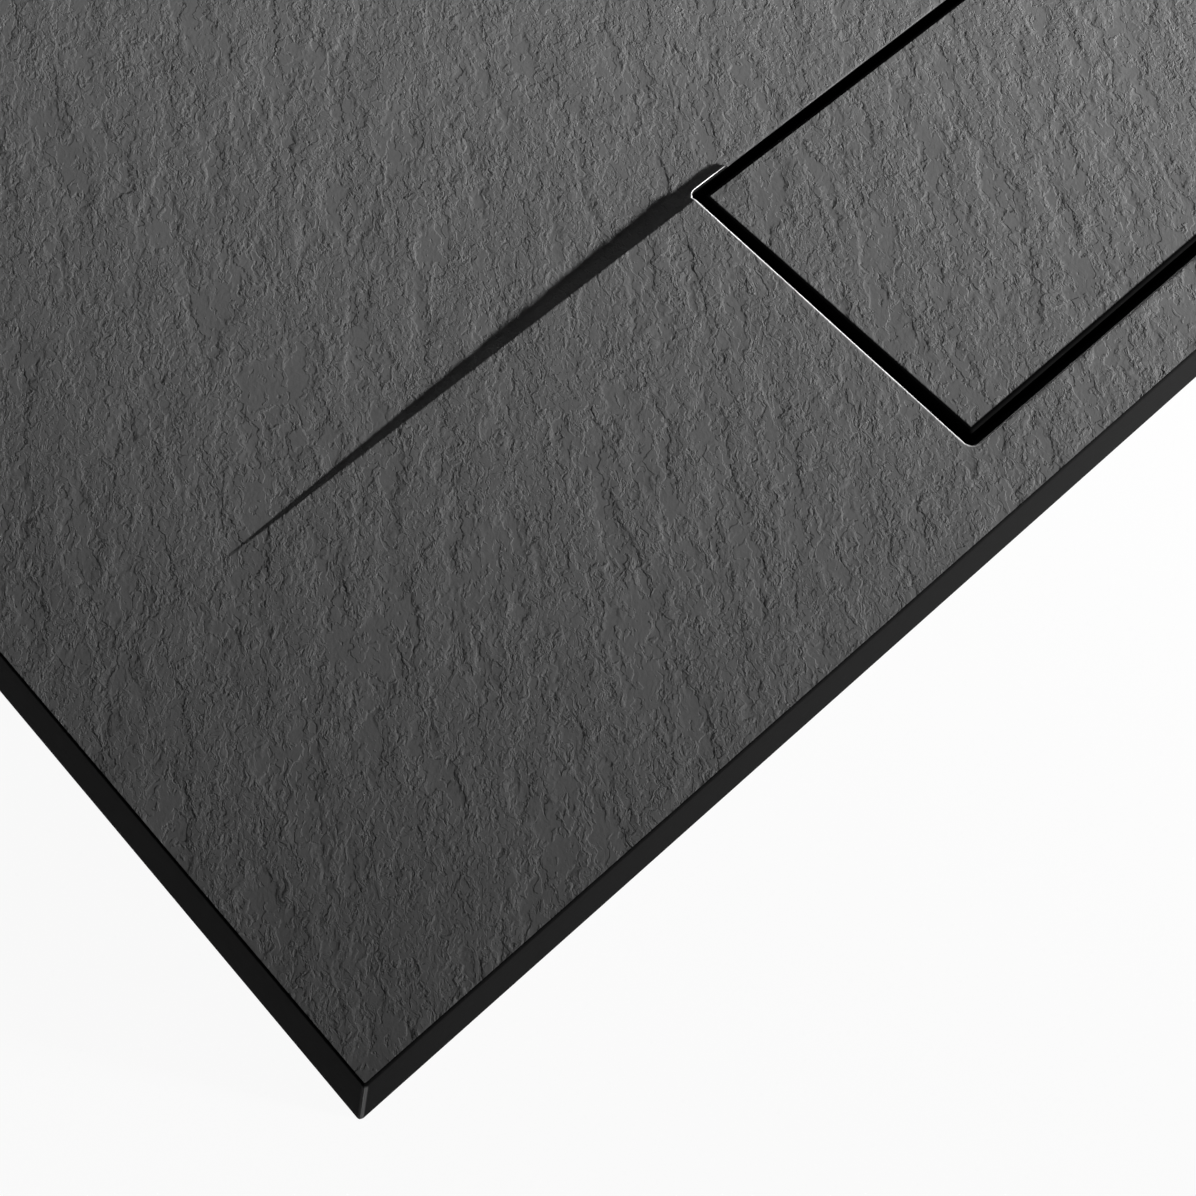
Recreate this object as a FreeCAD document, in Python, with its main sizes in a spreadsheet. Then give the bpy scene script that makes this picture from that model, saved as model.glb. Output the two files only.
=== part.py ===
import FreeCAD, Part

import os

import Sketcher

# A low slate-faced shower tray with a drain cover of the same casting and a 90 mm waste with a lift-out
# trap.
#
# Frame: the origin is the centre of the tray's underside, which is bonded to the subfloor. +X runs along
# the drain side, +Y runs from the drain side to the back and +Z is up. The trap hangs below z = 0, in the
# pit that the subfloor leaves for it. All sizes are in millimetres.

SIZES = {
    # The cast slab. A flare is how far the underside stands out past the rim on that side.
    "tray_width": 900.0,
    "tray_depth": 1200.0,
    "tray_thickness": 35.0,
    "flank_flare": 6.8,
    "front_flare": 0.4,
    "upright_round": 1.5,
    "rim_round": 1.0,
    # The floor. It falls from level borders to a pan behind the drain, and a ramp joins it to the strip.
    "flank_border": 65.0,
    "back_border": 65.0,
    "floor_fall": 3.5,
    "ramp_run": 8.0,
    "pan_run": 24.0,
    "nose_length": 21.0,
    "nose_round": 8.3,
    # The drain cover and the recess that holds it. The cover's top falls towards the pan.
    "cover_length": 288.0,
    "cover_width": 135.0,
    "cover_thickness": 12.0,
    "cover_fall": 2.5,
    "cover_margin": 31.3,
    "cover_gap": 4.35,
    "cover_corner": 1.5,
    "cover_round": 1.0,
    "recess_drop": 20.0,
    "recess_corner": 3.5,
    "recess_round": 1.0,
    # The cover's feet and their stems.
    "foot_radius": 8.0,
    "foot_inset": 22.0,
    "stem_radius": 2.9,
    "stem_length": 4.6,
    "stem_play": 0.1,
    # The waste hole and the ring that is screwed down on it.
    "hole_radius": 45.0,
    "ring_radius": 58.0,
    "ring_thickness": 2.5,
    "ring_play": 0.8,
    "skirt_wall": 1.3,
    "skirt_lap": 4.0,
    "skirt_play": 0.3,
    "upper_gasket": 1.5,
    "lower_gasket": 2.5,
    "gasket_inset": 0.6,
    "rebate_play": 2.0,
    # The trap's bowl and neck.
    "neck_bore": 34.5,
    "neck_play": 1.0,
    "neck_setback": 3.0,
    "shelf_drop": 8.0,
    "shelf_ledge": 2.0,
    "shelf_thickness": 4.0,
    "trap_flange": 4.0,
    "bowl_radius": 52.0,
    "bowl_wall": 3.0,
    "bowl_depth": 75.0,
    "bowl_round": 9.0,
    "rib_count": 8,
    "rib_thickness": 2.5,
    "rib_height": 22.0,
    # The screws through the ring and the threaded inserts that they go into.
    "screw_count": 4,
    "screw_circle": 40.2,
    "screw_radius": 2.0,
    "screw_length": 16.0,
    "head_radius": 3.7,
    "driver_slot": 0.9,
    "driver_depth": 1.1,
    "insert_radius": 2.6,
    "insert_length": 10.0,
    "thread_play": 0.05,
    # The lift-out insert: funnel, dip tube, O-ring and cup.
    "funnel_play": 0.5,
    "funnel_wall": 3.2,
    "funnel_plate": 2.0,
    "funnel_slope": 9.0,
    "tube_bore": 15.0,
    "tube_wall": 2.0,
    "tube_foot": 56.0,
    "seal_section": 0.9,
    "seal_play": 0.25,
    "seal_drop": 3.6,
    "cup_radius": 30.5,
    "cup_wall": 2.0,
    "cup_rim": 20.0,
    "cup_foot": 68.0,
    "leg_count": 3,
    "leg_width": 8.0,
    # The hair strainer.
    "strainer_thickness": 1.6,
    "strainer_hole": 2.1,
    "strainer_pitch": 7.0,
    "holes_per_ring": 6,
    "knob_radius": 4.5,
    "knob_height": 10.0,
    "knob_grip": 3.0,
    "knob_neck": 2.2,
    # The outlet, its seal and its union nut.
    "outlet_drop": 46.0,
    "outlet_radius": 20.0,
    "outlet_wall": 2.0,
    "outlet_length": 50.0,
    "outlet_shoulder": 1.0,
    "collar_thickness": 4.0,
    "stub_radius": 24.0,
    "stub_length": 26.0,
    "outlet_gasket": 2.5,
    "nut_radius": 31.0,
    "nut_lap": 14.0,
    "nut_lip": 4.0,
    "nut_play": 0.2,
    "flute_radius": 3.2,
    "flute_count": 12,
}

DOC = FreeCAD.newDocument("shower_tray")
SHEET = DOC.addObject("Spreadsheet::Sheet", "dims")


def fill_sheet():
    """Put each driving size in a row of the sheet: its name, and its value under an alias of that name."""
    for row, (alias, value) in enumerate(SIZES.items(), 1):
        SHEET.set(f"A{row}", alias)
        SHEET.set(f"B{row}", str(value))
        SHEET.setAlias(f"B{row}", alias)
    DOC.recompute()


# Places that several pieces share, each worked out from the driving sizes.
RIM_HALF = "(dims.tray_width / 2 - dims.flank_flare)"
RIM_FRONT = "(dims.front_flare - dims.tray_depth / 2)"
RIM_BACK = "(dims.tray_depth / 2 - dims.flank_flare)"
COVER_NEAR = f"({RIM_FRONT} + dims.cover_margin)"
COVER_FAR = f"({COVER_NEAR} + dims.cover_width)"
COVER_BOTTOM = "(dims.tray_thickness - dims.cover_thickness)"
RECESS_HALF = "(dims.cover_length / 2 + dims.cover_gap)"
RECESS_NEAR = f"({COVER_NEAR} - dims.cover_gap)"
RECESS_FAR = f"({COVER_FAR} + dims.cover_gap)"
RECESS_FLOOR = "(dims.tray_thickness - dims.recess_drop)"
RAMP_FOOT = f"({COVER_FAR} + dims.ramp_run)"
PAN_FAR = f"({RAMP_FOOT} + dims.pan_run)"
FOOT_X = "(dims.cover_length / 2 - dims.foot_inset)"
FOOT_Y = "(dims.cover_width / 2 - dims.foot_inset)"

# The waste stands on the recess's centre. Its heights are measured from the tray's underside.
WASTE_Y = f"({COVER_NEAR} + dims.cover_width / 2)"
SEAT = f"({RECESS_FLOOR} - dims.ring_thickness - dims.upper_gasket)"
RING_FOOT = f"({RECESS_FLOOR} - dims.ring_thickness)"
NECK_TOP = f"({SEAT} - dims.neck_setback)"
NECK_RADIUS = "(dims.hole_radius - dims.neck_play)"
SKIRT_FOOT = f"({NECK_TOP} - dims.skirt_lap)"
SKIRT_BORE = "(dims.neck_bore + dims.skirt_play)"
SKIRT_RADIUS = f"({SKIRT_BORE} + dims.skirt_wall)"
SHELF_BORE = "(dims.neck_bore - dims.shelf_ledge)"
SHELF_FOOT = "(0 - dims.shelf_drop - dims.shelf_thickness)"
FLANGE_FOOT = "(0 - dims.trap_flange)"
GASKET_BORE = "(dims.hole_radius + dims.gasket_inset)"
GASKET_RADIUS = "(dims.ring_radius - dims.gasket_inset)"
BOWL_BORE = "(dims.bowl_radius - dims.bowl_wall)"
BOWL_FLOOR = "(dims.bowl_wall - dims.bowl_depth)"
FUNNEL_RADIUS = "(dims.neck_bore - dims.funnel_play)"
FUNNEL_BORE = f"({FUNNEL_RADIUS} - dims.funnel_wall)"
TUBE_RADIUS = "(dims.tube_bore + dims.tube_wall)"
SEAL_CENTRE = "(dims.neck_bore - dims.seal_play - dims.seal_section)"

# Along the outlet, measured from the waste's axis.
STUB_END = "(dims.bowl_radius + dims.stub_length)"
COLLAR_START = f"({STUB_END} + dims.outlet_gasket)"
COLLAR_END = f"({COLLAR_START} + dims.collar_thickness)"
NUT_START = f"({STUB_END} - dims.nut_lap)"
NUT_END = f"({COLLAR_END} + dims.nut_lip)"
SHOULDER_END = f"({NUT_END} + dims.outlet_shoulder)"
SHOULDER_RADIUS = "(dims.outlet_radius + dims.outlet_shoulder)"
OUTLET_BORE = "(dims.outlet_radius - dims.outlet_wall)"
THREAD_RADIUS = "(dims.stub_radius + dims.nut_play)"

NEAR_ZERO = 1e-4
FULL_TURN = 360.0
PIECES = []


def number(expression):
    """What an expression over the sheet comes to."""
    return float(SHEET.evalExpression(expression))


def new_body(label, base_y="0", base_z="0"):
    """A body for one piece. Its own origin stands at (0, base_y, base_z) of the tray's frame."""
    body = DOC.addObject("PartDesign::Body", label)
    body.Label = label
    body.AllowCompound = True
    body.setExpression("Placement.Base.y", base_y)
    body.setExpression("Placement.Base.z", base_z)
    PIECES.append(body)
    return body


def new_sketch(body, name, role, offset="0"):
    """A sketch on one of the body's own planes, moved along the plane's normal by offset."""
    sketch = body.newObject("Sketcher::SketchObject", name)
    plane = next(feature for feature in body.Origin.OriginFeatures if feature.Role == role)
    sketch.AttachmentSupport = [(plane, "")]
    sketch.MapMode = "FlatFace"
    sketch.setExpression("AttachmentOffset.Base.z", offset)
    return sketch


def bind(sketch, kind, *place, expression):
    """Add a dimension to the sketch and tie it to an expression over the sheet."""
    index = sketch.addConstraint(Sketcher.Constraint(kind, *place, number(expression)))
    sketch.setExpression(f"Constraints[{index}]", expression)


def pin_point(sketch, geometry, vertex, across, along):
    """Hold one end of a line or arc, or the centre of a circle, at a place measured from the origin."""
    bind(sketch, "DistanceX", -1, 1, geometry, vertex, expression=across)
    bind(sketch, "DistanceY", -1, 1, geometry, vertex, expression=along)


def outline(sketch, corners, arcs=None):
    """Draw a closed outline.

    corners lists (x, y) expressions in order. arcs maps the number of a corner to (x, y, radius) of an arc
    from that corner to the next one, where x and y are a point about halfway along it.
    """
    arcs = arcs or {}
    points = [FreeCAD.Vector(number(x), number(y), 0) for x, y in corners]
    ends = []
    for i, start in enumerate(points):
        finish = points[(i + 1) % len(points)]
        if i in arcs:
            x, y, radius = arcs[i]
            middle = FreeCAD.Vector(number(x), number(y), 0)
            geometry = sketch.addGeometry(Part.Arc(start, middle, finish), False)
            bind(sketch, "Radius", geometry, expression=radius)
        else:
            geometry = sketch.addGeometry(Part.LineSegment(start, finish), False)
        from_first = (sketch.getPoint(geometry, 1) - start).Length
        from_second = (sketch.getPoint(geometry, 2) - start).Length
        ends.append((geometry, 1, 2) if from_first < from_second else (geometry, 2, 1))
    for i, (geometry, first, _) in enumerate(ends):
        before, _, last = ends[i - 1]
        sketch.addConstraint(Sketcher.Constraint("Coincident", before, last, geometry, first))
        pin_point(sketch, geometry, first, *corners[i])


def rectangle(sketch, left, right, near, far):
    """Draw an upright rectangle between four expressions."""
    outline(sketch, [(left, near), (right, near), (right, far), (left, far)])


def circle(sketch, across, along, radius):
    """Draw a circle about a place measured from the sketch's origin."""
    centre = FreeCAD.Vector(number(across), number(along), 0)
    normal = FreeCAD.Vector(0, 0, 1)
    geometry = sketch.addGeometry(Part.Circle(centre, normal, number(radius)), False)
    pin_point(sketch, geometry, 3, across, along)
    bind(sketch, "Radius", geometry, expression=radius)


def four_circles(sketch, across, along, radius):
    """Draw equal circles at the four corners of a rectangle about the origin."""
    for x in (across, f"(0 - {across})"):
        for y in (along, f"(0 - {along})"):
            circle(sketch, x, y, radius)


def pad(body, sketch, name, length, backwards=False, centred=False):
    """Raise a sketch along its plane's normal, against it, or half to each side."""
    feature = body.newObject("PartDesign::Pad", name)
    feature.Profile = sketch
    feature.setExpression("Length", length)
    feature.Reversed = backwards
    feature.SideType = "Symmetric" if centred else "One side"
    DOC.recompute()
    return feature


def pocket(body, sketch, name, depth, along_normal=False):
    """Cut a sketch into the solid, against its plane's normal unless along_normal says otherwise."""
    feature = body.newObject("PartDesign::Pocket", name)
    feature.Profile = sketch
    feature.setExpression("Length", depth)
    feature.Reversed = along_normal
    DOC.recompute()
    return feature


def wedge(body, kind, name, low, high):
    """Add or cut a block whose upper and lower rectangles differ: each is (left, right, near, far, height).

    The wedge's own axes are those of the plane it stands on: the second is up and the third runs nearwards.
    """
    feature = body.newObject(kind, name)
    plane = next(item for item in body.Origin.OriginFeatures if item.Role == "XZ_Plane")
    feature.AttachmentSupport = [(plane, "")]
    feature.MapMode = "FlatFace"
    for mark, (left, right, near, far, _) in (("", low), ("2", high)):
        feature.setExpression(f"X{mark}min", left)
        feature.setExpression(f"X{mark}max", right)
        feature.setExpression(f"Z{mark}min", f"(0 - {far})")
        feature.setExpression(f"Z{mark}max", f"(0 - {near})")
    feature.setExpression("Ymin", low[-1])
    feature.setExpression("Ymax", high[-1])
    DOC.recompute()
    return feature


def turn(body, sketch, name, axis="V_Axis", cut=False):
    """Revolve a sketch about one of its own axes, as new material or as a groove."""
    feature = body.newObject("PartDesign::Groove" if cut else "PartDesign::Revolution", name)
    feature.Profile = sketch
    feature.ReferenceAxis = (sketch, [axis])
    feature.Angle = FULL_TURN
    DOC.recompute()
    return feature


def repeat(body, feature, name, axis, count):
    """Repeat a feature evenly round an axis of its sketch."""
    pattern = body.newObject("PartDesign::PolarPattern", name)
    pattern.Originals = [feature]
    pattern.Axis = axis
    pattern.Angle = FULL_TURN
    pattern.setExpression("Occurrences", count)
    body.Tip = pattern
    DOC.recompute()
    return pattern


def blend(body, name, radius, chosen):
    """Round the edges of the body's last feature that chosen picks."""
    base = body.Tip
    names = [f"Edge{i}" for i, edge in enumerate(base.Shape.Edges, 1) if chosen(edge)]
    feature = body.newObject("PartDesign::Fillet", name)
    feature.Base = (base, names)
    feature.setExpression("Radius", radius)
    DOC.recompute()
    return feature


def is_upright(edge):
    """Whether an edge is straight and runs along Z."""
    box = edge.BoundBox
    return box.ZLength > NEAR_ZERO and max(box.XLength, box.YLength) < NEAR_ZERO


def is_level(edge, height):
    """Whether an edge lies wholly at one height."""
    box = edge.BoundBox
    return box.ZLength < NEAR_ZERO and abs(box.ZMin - number(height)) < NEAR_ZERO


def make_tray():
    """The cast slab: flared sides, recess, falling floor, ramp and mouth, and the seat of the waste."""
    body = new_body("tray")
    half_width = "(dims.tray_width / 2)"
    half_depth = "(dims.tray_depth / 2)"
    wedge(body, "PartDesign::AdditiveWedge", "tray_slab",
          (f"(0 - {half_width})", half_width, f"(0 - {half_depth})", half_depth, "0"),
          (f"(0 - {RIM_HALF})", RIM_HALF, RIM_FRONT, RIM_BACK, "dims.tray_thickness"))
    blend(body, "tray_uprights", "dims.upright_round",
          lambda edge: edge.BoundBox.ZLength > number("dims.tray_thickness") - NEAR_ZERO)
    blend(body, "tray_rim_round", "dims.rim_round",
          lambda edge: is_level(edge, "dims.tray_thickness"))

    recess = new_sketch(body, "recess_outline", "XY_Plane", "dims.tray_thickness")
    rectangle(recess, f"(0 - {RECESS_HALF})", RECESS_HALF, RECESS_NEAR, RECESS_FAR)
    pocket(body, recess, "recess", "dims.recess_drop")
    blend(body, "recess_corners", "dims.recess_corner", is_upright)
    inner = number(RECESS_HALF) + NEAR_ZERO
    blend(body, "recess_lip", "dims.recess_round",
          lambda edge: is_level(edge, "dims.tray_thickness") and edge.BoundBox.XMax < inner
          and edge.BoundBox.XMin > -inner)

    pan = (f"(0 - {RECESS_HALF})", RECESS_HALF, RAMP_FOOT, PAN_FAR,
           "(dims.tray_thickness - dims.floor_fall)")
    border_x = f"({RIM_HALF} - dims.flank_border)"
    border_y = f"({RIM_BACK} - dims.back_border)"
    border = (f"(0 - {border_x})", border_x, COVER_FAR, border_y, "dims.tray_thickness")
    wedge(body, "PartDesign::SubtractiveWedge", "floor_falls", pan, border)

    mouth = new_sketch(body, "mouth_outline", "XY_Plane", "dims.tray_thickness")
    mouth_half = f"({RECESS_HALF} - dims.nose_length)"
    nose_half = f"({mouth_half} + dims.nose_round)"
    nose_y = f"({RAMP_FOOT} - dims.nose_round)"
    bulge_x = f"({nose_half} - dims.nose_round * sqrt(0.5))"
    bulge_y = f"({nose_y} + dims.nose_round * sqrt(0.5))"
    outline(
        mouth,
        [(mouth_half, WASTE_Y), (mouth_half, nose_y), (nose_half, RAMP_FOOT), (nose_half, PAN_FAR),
         (f"(0 - {nose_half})", PAN_FAR), (f"(0 - {nose_half})", RAMP_FOOT),
         (f"(0 - {mouth_half})", nose_y), (f"(0 - {mouth_half})", WASTE_Y)],
        {1: (bulge_x, bulge_y, "dims.nose_round"),
         5: (f"(0 - {bulge_x})", bulge_y, "dims.nose_round")},
    )
    pocket(body, mouth, "mouth", "dims.floor_fall")

    seat = new_sketch(body, "seat_outline", "XY_Plane", RECESS_FLOOR)
    circle(seat, "0", WASTE_Y, "(dims.ring_radius + dims.ring_play)")
    pocket(body, seat, "seat", f"({RECESS_FLOOR} - {SEAT})")
    hole = new_sketch(body, "hole_outline", "XY_Plane", RECESS_FLOOR)
    circle(hole, "0", WASTE_Y, "dims.hole_radius")
    pocket(body, hole, "waste_hole", RECESS_FLOOR)
    rebate = new_sketch(body, "rebate_outline", "XY_Plane")
    circle(rebate, "0", WASTE_Y, "(dims.ring_radius + dims.rebate_play)")
    pocket(body, rebate, "rebate", "dims.lower_gasket", along_normal=True)


def make_drain_cover():
    """The slab over the drain, with a sloping top and a blind socket under each corner for a foot."""
    body = new_body("drain_cover", WASTE_Y, COVER_BOTTOM)
    section = new_sketch(body, "cover_section", "YZ_Plane")
    half_width = "(dims.cover_width / 2)"
    far_height = "(dims.cover_thickness - dims.cover_fall)"
    outline(section, [
        (f"(0 - {half_width})", "0"), (half_width, "0"), (half_width, far_height),
        (f"(0 - {half_width})", "dims.cover_thickness"),
    ])
    pad(body, section, "cover_slab", "dims.cover_length", centred=True)
    blend(body, "cover_corners", "dims.cover_corner", is_upright)
    blend(body, "cover_rim", "dims.cover_round",
          lambda edge: edge.BoundBox.ZMin > number(far_height) - NEAR_ZERO)
    sockets = new_sketch(body, "socket_outline", "XY_Plane")
    four_circles(sockets, FOOT_X, FOOT_Y, "(dims.stem_radius + dims.stem_play)")
    pocket(body, sockets, "cover_sockets", "(dims.stem_length + dims.stem_play)", along_normal=True)


def make_cover_feet():
    """Four rubber feet: each is a disc that stands in the recess and a stem that plugs into the cover."""
    body = new_body("cover_feet", WASTE_Y, COVER_BOTTOM)
    discs = new_sketch(body, "foot_discs", "XY_Plane")
    four_circles(discs, FOOT_X, FOOT_Y, "dims.foot_radius")
    pad(body, discs, "foot_pads", "(dims.recess_drop - dims.cover_thickness)", backwards=True)
    stems = new_sketch(body, "foot_stems", "XY_Plane")
    four_circles(stems, FOOT_X, FOOT_Y, "dims.stem_radius")
    pad(body, stems, "foot_plugs", "dims.stem_length")


def make_waste_flange():
    """The ring on the seat, with countersinks and a skirt that leads the water into the neck."""
    body = new_body("waste_flange", WASTE_Y)
    section = new_sketch(body, "flange_section", "XZ_Plane")
    outline(section, [
        (SKIRT_BORE, RECESS_FLOOR), (SKIRT_BORE, SKIRT_FOOT), (SKIRT_RADIUS, SKIRT_FOOT),
        (SKIRT_RADIUS, RING_FOOT), ("dims.ring_radius", RING_FOOT),
        ("dims.ring_radius", RECESS_FLOOR),
    ])
    turn(body, section, "flange_ring")
    sink = new_sketch(body, "countersink_section", "XZ_Plane")
    hole_radius = "(dims.screw_radius + dims.skirt_play)"
    sink_foot = f"({RECESS_FLOOR} - dims.head_radius + dims.screw_radius)"
    outline(sink, [
        ("0", RECESS_FLOOR), ("dims.head_radius", RECESS_FLOOR), (hole_radius, sink_foot),
        (hole_radius, RING_FOOT), ("0", RING_FOOT),
    ])
    sink.setExpression("AttachmentOffset.Base.x", "dims.screw_circle")
    cut = turn(body, sink, "countersink", cut=True)
    repeat(body, cut, "countersinks", (section, ["V_Axis"]), "dims.screw_count")


def make_gasket(label, foot, height):
    """A flat ring gasket round the waste hole."""
    body = new_body(label, WASTE_Y)
    ring = new_sketch(body, f"{label}_outline", "XY_Plane", foot)
    circle(ring, "0", "0", GASKET_RADIUS)
    circle(ring, "0", "0", GASKET_BORE)
    pad(body, ring, f"{label}_ring", height)


def make_flange_screws():
    """Countersunk screws with a slot across the head, flush with the ring."""
    body = new_body("flange_screws", WASTE_Y)
    section = new_sketch(body, "screw_section", "XZ_Plane")
    shank = "(dims.screw_radius - dims.thread_play)"
    outline(section, [
        ("0", RECESS_FLOOR), ("(dims.head_radius - dims.thread_play)", RECESS_FLOOR),
        (shank, f"({RECESS_FLOOR} - dims.head_radius + dims.screw_radius)"),
        (shank, f"({RECESS_FLOOR} - dims.screw_length)"), ("0", f"({RECESS_FLOOR} - dims.screw_length)"),
    ])
    section.setExpression("AttachmentOffset.Base.x", "dims.screw_circle")
    shape = turn(body, section, "screw")
    slot = new_sketch(body, "slot_outline", "XY_Plane", RECESS_FLOOR)
    reach = "(dims.screw_circle + dims.head_radius)"
    start = "(dims.screw_circle - dims.head_radius)"
    rectangle(slot, start, reach, "(0 - dims.driver_slot / 2)", "(dims.driver_slot / 2)")
    cut = pocket(body, slot, "screw_slot", "dims.driver_depth")
    pattern = repeat(body, shape, "screws", (slot, ["N_Axis"]), "dims.screw_count")
    pattern.Originals = [shape, cut]
    DOC.recompute()


def make_screw_inserts():
    """Threaded sleeves moulded into the neck, one under each screw."""
    body = new_body("screw_inserts", WASTE_Y)
    section = new_sketch(body, "insert_section", "XZ_Plane")
    foot = f"({NECK_TOP} - dims.insert_length)"
    outline(section, [
        ("dims.screw_radius", foot), ("dims.insert_radius", foot), ("dims.insert_radius", NECK_TOP),
        ("dims.screw_radius", NECK_TOP),
    ])
    section.setExpression("AttachmentOffset.Base.x", "dims.screw_circle")
    sleeve = turn(body, section, "insert")
    centre = new_sketch(body, "insert_centre", "XY_Plane")
    repeat(body, sleeve, "inserts", (centre, ["N_Axis"]), "dims.screw_count")


def make_trap_body():
    """The trap's bowl with its neck in the tray's hole, its flange below, its ribs and its outlet stub."""
    body = new_body("trap_body", WASTE_Y)
    section = new_sketch(body, "trap_outside", "XZ_Plane")
    foot = "(0 - dims.bowl_depth)"
    outline(section, [
        ("0", NECK_TOP), (NECK_RADIUS, NECK_TOP), (NECK_RADIUS, "0"), ("dims.ring_radius", "0"),
        ("dims.ring_radius", FLANGE_FOOT), ("dims.bowl_radius", FLANGE_FOOT), ("dims.bowl_radius", foot),
        ("0", foot),
    ])
    turn(body, section, "trap_outer")
    blend(body, "bowl_foot", "dims.bowl_round", lambda edge: is_level(edge, foot))

    rib = new_sketch(body, "rib_outline", "XZ_Plane")
    rib_foot = f"({FLANGE_FOOT} - dims.rib_height)"
    outline(rib, [
        (BOWL_BORE, FLANGE_FOOT), ("dims.ring_radius", FLANGE_FOOT), ("dims.bowl_radius", rib_foot),
        (BOWL_BORE, rib_foot),
    ])
    one_rib = pad(body, rib, "rib", "dims.rib_thickness", centred=True)
    repeat(body, one_rib, "ribs", (rib, ["V_Axis"]), "dims.rib_count")

    stub = new_sketch(body, "stub_outline", "XZ_Plane")
    circle(stub, "0", "(0 - dims.outlet_drop)", "dims.stub_radius")
    pad(body, stub, "outlet_stub", STUB_END, backwards=True)

    hollow = new_sketch(body, "trap_inside", "XZ_Plane")
    step = f"({SKIRT_FOOT} - dims.skirt_play)"
    counterbore = f"({SKIRT_RADIUS} + dims.skirt_play)"
    shelf = "(0 - dims.shelf_drop)"
    outline(hollow, [
        ("0", NECK_TOP), (counterbore, NECK_TOP), (counterbore, step), ("dims.neck_bore", step),
        ("dims.neck_bore", shelf), (SHELF_BORE, shelf), (SHELF_BORE, SHELF_FOOT), (BOWL_BORE, SHELF_FOOT),
        (BOWL_BORE, BOWL_FLOOR), ("0", BOWL_FLOOR),
    ])
    turn(body, hollow, "trap_inner", cut=True)
    outlet = new_sketch(body, "outlet_bore", "XZ_Plane")
    circle(outlet, "0", "(0 - dims.outlet_drop)", OUTLET_BORE)
    pocket(body, outlet, "outlet_way", STUB_END)

    drill = new_sketch(body, "insert_hole", "XZ_Plane")
    hole_foot = f"({NECK_TOP} - dims.insert_length - dims.insert_radius)"
    outline(drill, [
        ("0", NECK_TOP), ("dims.insert_radius", NECK_TOP), ("dims.insert_radius", hole_foot),
        ("0", hole_foot),
    ])
    drill.setExpression("AttachmentOffset.Base.x", "dims.screw_circle")
    cut = turn(body, drill, "insert_drill", cut=True)
    repeat(body, cut, "insert_holes", (section, ["V_Axis"]), "dims.screw_count")


def make_dip_tube():
    """The lift-out funnel with its tube and the three legs that carry the cup."""
    body = new_body("dip_tube", WASTE_Y)
    foot = "(0 - dims.tube_foot)"
    rim_foot = "(0 - dims.shelf_drop)"
    cone_foot = f"({rim_foot} - dims.funnel_slope)"
    section = new_sketch(body, "funnel_outside", "XZ_Plane")
    inner_foot = f"({SHELF_BORE} - dims.funnel_play)"
    outline(section, [
        ("0", "0"), (FUNNEL_RADIUS, "0"), (FUNNEL_RADIUS, rim_foot), (inner_foot, rim_foot),
        (TUBE_RADIUS, cone_foot), (TUBE_RADIUS, foot), ("0", foot),
    ])
    turn(body, section, "funnel_outer")
    leg = new_sketch(body, "leg_outline", "XY_Plane", "(0 - dims.cup_rim)")
    rectangle(leg, "(dims.cup_radius - 2 * dims.cup_wall)", "(dims.cup_radius - dims.funnel_play)",
              "(0 - dims.leg_width / 2)", "(dims.leg_width / 2)")
    one_leg = pad(body, leg, "leg", "(dims.cup_rim - dims.shelf_drop)")
    repeat(body, one_leg, "legs", (leg, ["N_Axis"]), "dims.leg_count")
    hollow = new_sketch(body, "funnel_inside", "XZ_Plane")
    outline(hollow, [
        ("0", "0"), (FUNNEL_BORE, "0"), (FUNNEL_BORE, f"({rim_foot} + dims.funnel_plate)"),
        ("dims.tube_bore", f"({cone_foot} + dims.funnel_plate)"), ("dims.tube_bore", foot),
        ("0", foot),
    ])
    turn(body, hollow, "funnel_inner", cut=True)
    groove = new_sketch(body, "seal_groove", "XZ_Plane")
    groove_floor = f"({SEAL_CENTRE} - dims.seal_section)"
    top = "(dims.seal_section - dims.seal_drop)"
    bottom = "(0 - dims.seal_section - dims.seal_drop)"
    outline(groove, [
        (groove_floor, bottom), ("dims.neck_bore", bottom), ("dims.neck_bore", top), (groove_floor, top),
    ])
    turn(body, groove, "seal_channel", cut=True)


def make_insert_seal():
    """The O-ring in the funnel's groove."""
    body = new_body("insert_seal", WASTE_Y)
    section = new_sketch(body, "seal_section", "XZ_Plane")
    circle(section, SEAL_CENTRE, "(0 - dims.seal_drop)", "dims.seal_section")
    turn(body, section, "seal_ring")


def make_trap_cup():
    """The cup round the dip tube, which keeps the water seal and hangs from the three legs."""
    body = new_body("trap_cup", WASTE_Y)
    rim = "(0 - dims.cup_rim)"
    foot = "(0 - dims.cup_foot)"
    bore = "(dims.cup_radius - dims.cup_wall)"
    section = new_sketch(body, "cup_section", "XZ_Plane")
    outline(section, [
        ("0", foot), ("dims.cup_radius", foot), ("dims.cup_radius", rim), (bore, rim),
        (bore, f"({foot} + dims.cup_wall)"), ("0", f"({foot} + dims.cup_wall)"),
    ])
    turn(body, section, "cup_shell")
    blend(body, "cup_base", "dims.cup_wall", lambda edge: is_level(edge, foot))


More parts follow.
